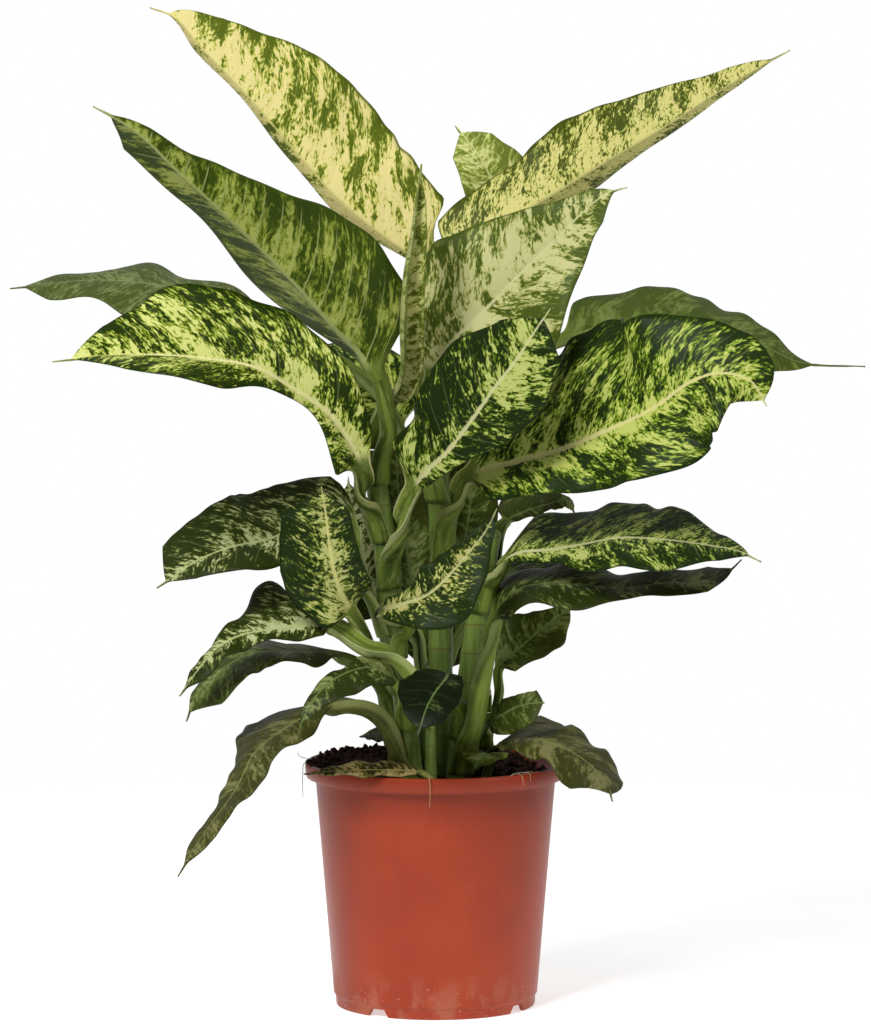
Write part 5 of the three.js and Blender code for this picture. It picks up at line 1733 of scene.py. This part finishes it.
# %% Make the leaves
for number, leaf in enumerate(LEAVES):
    sheet = leaf_mesh(leaf, number + 1)
    make_piece(
        f"blade_{leaf['name']}", sheet["points"], sheet["faces"], LEAF_FINISHES[leaf["finish"]],
        faces_worn=sheet["worn"], notes=sheet["notes"],
        stands_for=[f"leaf_{leaf['name']}"],
    )
print("leaves made:", len(LEAVES))

# %% [markdown]
# ### Root threads over the rim
# When the plant was potted, a few hair-thin roots were left hanging over the rim: a tan one at
# the front, pale wisps on the right and a dark one on the left. They could be particle hair,
# but each is only one bent thread, so it is a thin tube along a smooth line.

# %% Make the root threads
THREAD_SIDES, THREAD_ROWS = 7, 34
ROOT_THREADS = {
    "tan": {
        "colour": (176, 148, 92), "thick": 0.8,
        "lines": [
            [
                (-6, -66, 152), (-4.6, -79, 159.3), (-4, -85.4, 159.6), (-3.4, -86.3, 152),
                (-3.8, -86.5, 141),
            ],
        ],
    },
    "pale": {
        "colour": (206, 196, 166), "thick": 0.35,
        "lines": [
            [(48, -60, 152), (53, -65, 159.6), (55, -67.5, 159), (56.5, -68, 152.5)],
            [(52, -54, 152), (58, -60.5, 159.8), (60.5, -62.6, 159), (61, -63.2, 154.6)],
            [(44, -66, 153), (49, -69, 159.6), (57, -63, 160.4), (63, -57.5, 160)],
        ],
    },
    "dark": {
        "colour": (70, 44, 32), "thick": 0.5,
        "lines": [
            [
                (-72, -12, 152), (-81.5, -14, 159.6), (-85, -15, 160), (-86.2, -15.4, 151),
                (-86, -15.8, 137),
            ],
            [(-74, 2, 153), (-83, 1, 160.2), (-88.6, 2, 162), (-90, 3, 165)],
        ],
    },
}


def thread_finish(name, colour):
    material, tree, shader = new_finish(f"{name}_root_fibre", roughness=0.85, specular=0.2)
    wear = noise(tree, object_place(tree), 260, 3)
    darker = tuple(0.6 * c for c in colour)
    tree.links.new(blend(tree, wear, paint(*darker), paint(*colour)), shader.inputs["Base Color"])
    return material


def thread_mesh(points, thick):
    """A tube along a smooth line, thinner at its end."""
    line = smooth_line(points)
    along = np.linspace(0, line[1][-1], THREAD_ROWS)
    middle, way = on_line(line, along), heading(line, along, 1 * MM)
    side = unit(np.cross(way, (0.31, 0.52, 0.17)))
    above = np.cross(way, side)
    radius = thick / 2 * MM * (1 - 0.5 * (along / along[-1]) ** 2)
    cos, sin, _ = ring_points(THREAD_SIDES).T
    ring = cos[:, None] * side[:, None, :] + sin[:, None] * above[:, None, :]
    points = middle[:, None, :] + ring * radius[:, None, None]
    return points.reshape(-1, 3), ring_faces(len(along), THREAD_SIDES)


for name, thread in ROOT_THREADS.items():
    finish = thread_finish(name, thread["colour"])
    points, faces, start = [], [], 0
    for line in thread["lines"]:
        tube, tube_faces = thread_mesh(line, thread["thick"])
        points.append(tube)
        faces.extend(tuple(start + i for i in face) for face in tube_faces)
        start += len(tube)
    make_piece(f"root_threads_{name}", np.concatenate(points), faces, [finish])
print("root threads made:", ", ".join(ROOT_THREADS))

# %% [markdown]
# ## The studio
# The plant stands on white paper under a large soft light, upper left, with a white room all
# around. A curved paper wall would do for one picture, but it would hide the plant from the
# other sides. So the floor is a disc that fades out into a white world. It is lit from below
# too, as a light table is, and so only a faint soft shadow is left near the pot.

# %% The floor
def floor_finish():
    material, tree, shader = new_finish("white_studio_floor", roughness=0.9, specular=0.1)
    place = object_place(tree)
    x, y, _ = parts_of(tree, place)
    reach = sum_up(tree, "MULTIPLY_ADD", y, y, sum_up(tree, "MULTIPLY", x, x))
    tree.links.new(soft_step(tree, reach, 0.04, 1.2, 1, 0), shader.inputs["Alpha"])
    tone = noise(tree, place, 3, 2)
    colour = blend(tree, tone, paint(242, 242, 241), paint(247, 247, 246))
    tree.links.new(colour, shader.inputs["Base Color"])
    shader.inputs["Emission Color"].default_value = (1, 1, 1, 1)
    shader.inputs["Emission Strength"].default_value = 0.55
    return material


FLOOR_RADIUS, FLOOR_SIDES, FLOOR_DROP = 1.15, 96, 0.3
rim = FLOOR_RADIUS * ring_points(FLOOR_SIDES) - (0, 0, FLOOR_DROP * MM)
floor_mesh = bpy.data.meshes.new("floor")
floor_mesh.from_pydata(rim.tolist(), [], [tuple(range(FLOOR_SIDES))])
floor_mesh.materials.append(floor_finish())
floor = bpy.data.objects.new("floor", floor_mesh)
bpy.context.scene.collection.objects.link(floor)
print("floor radius:", FLOOR_RADIUS, "m")

# %% [markdown]
# ### Soft light
# One big square light stands upper left in front, as the photographer's softbox does: the upper
# sides of the leaves are bright and the inside of the plant is dark. A weak one on the right
# keeps the shadows open. A room that is white all round would put a grey haze on every dark
# leaf, so the room is white only where the camera sees it, and dim on the camera's side.
# Colours are shown without a film curve, so paint values stay true.

# %% The lights
LIGHT_TARGET = (0, 0, 0.3)
ROOM_FRONT, ROOM_BACK = 0.22, 0.5


def soft_light(name, place, target, size, power):
    lamp = bpy.data.lights.new(name, "AREA")
    lamp.shape, lamp.size, lamp.energy = "SQUARE", size, power
    light = bpy.data.objects.new(name, lamp)
    bpy.context.scene.collection.objects.link(light)
    light.location = place
    way = np.array(target) - np.array(place)
    light.rotation_euler = mathutils.Vector(way).to_track_quat("-Z", "Y").to_euler()


soft_light("softbox_left", (-1.4, -2.2, 2.6), LIGHT_TARGET, size=1.4, power=122)
soft_light("fill_right", (2.2, -1.8, 1.2), LIGHT_TARGET, size=1.6, power=22)


def room_light():
    """A room that is white where the camera sees it, and lights the plant mostly from behind."""
    room = bpy.data.worlds.new("white_room")
    room.use_nodes = True
    tree = room.node_tree
    seen = tree.nodes["Background"]
    seen.inputs["Color"].default_value = (1, 1, 1, 1)
    seen.inputs["Strength"].default_value = 1.0
    way = parts_of(tree, tree.nodes.new("ShaderNodeTexCoord").outputs["Generated"])
    lighting = tree.nodes.new("ShaderNodeBackground")
    lighting.inputs["Color"].default_value = (1, 1, 1, 1)
    behind = soft_step(tree, way["Y"], -0.5, 0.6, ROOM_FRONT, ROOM_BACK)
    tree.links.new(behind, lighting.inputs["Strength"])
    chosen = tree.nodes.new("ShaderNodeMixShader")
    tree.links.new(tree.nodes.new("ShaderNodeLightPath").outputs["Is Camera Ray"], chosen.inputs[0])
    tree.links.new(lighting.outputs[0], chosen.inputs[1])
    tree.links.new(seen.outputs[0], chosen.inputs[2])
    tree.links.new(chosen.outputs[0], tree.nodes["World Output"].inputs["Surface"])
    return room


bpy.context.scene.world = room_light()
bpy.context.scene.view_settings.view_transform = "Standard"

# %% [markdown]
# ### The camera
# The photograph is taken from a few metres away with a long lens, a little above the plant's
# middle: one looks slightly down on the soil, and the pot's foot is hardly curved.

# %% The camera
CAMERA_PLACE, CAMERA_AIM = (0, -3.6, 0.65), (0, 0, 0.322)
CAMERA_LENS, CAMERA_SENSOR = 195.86, 36
camera_data = bpy.data.cameras.new("camera")
camera_data.lens, camera_data.sensor_fit = CAMERA_LENS, "VERTICAL"
camera_data.sensor_width = camera_data.sensor_height = CAMERA_SENSOR
camera = bpy.data.objects.new("camera", camera_data)
bpy.context.scene.collection.objects.link(camera)
camera.location = CAMERA_PLACE
aim = mathutils.Vector(CAMERA_AIM) - camera.location
camera.rotation_euler = aim.to_track_quat("-Z", "Y").to_euler()
bpy.context.scene.camera = camera
print("camera distance:", round(aim.length, 3), "m")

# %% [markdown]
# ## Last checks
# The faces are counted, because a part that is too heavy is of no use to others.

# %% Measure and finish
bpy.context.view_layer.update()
triangles = {
    piece.name: sum(len(face.vertices) - 2 for face in piece.data.polygons)
    for piece in PIECES
}
heaviest = max(triangles, key=triangles.get)
print("triangles:", sum(triangles.values()), "most in", heaviest, triangles[heaviest])
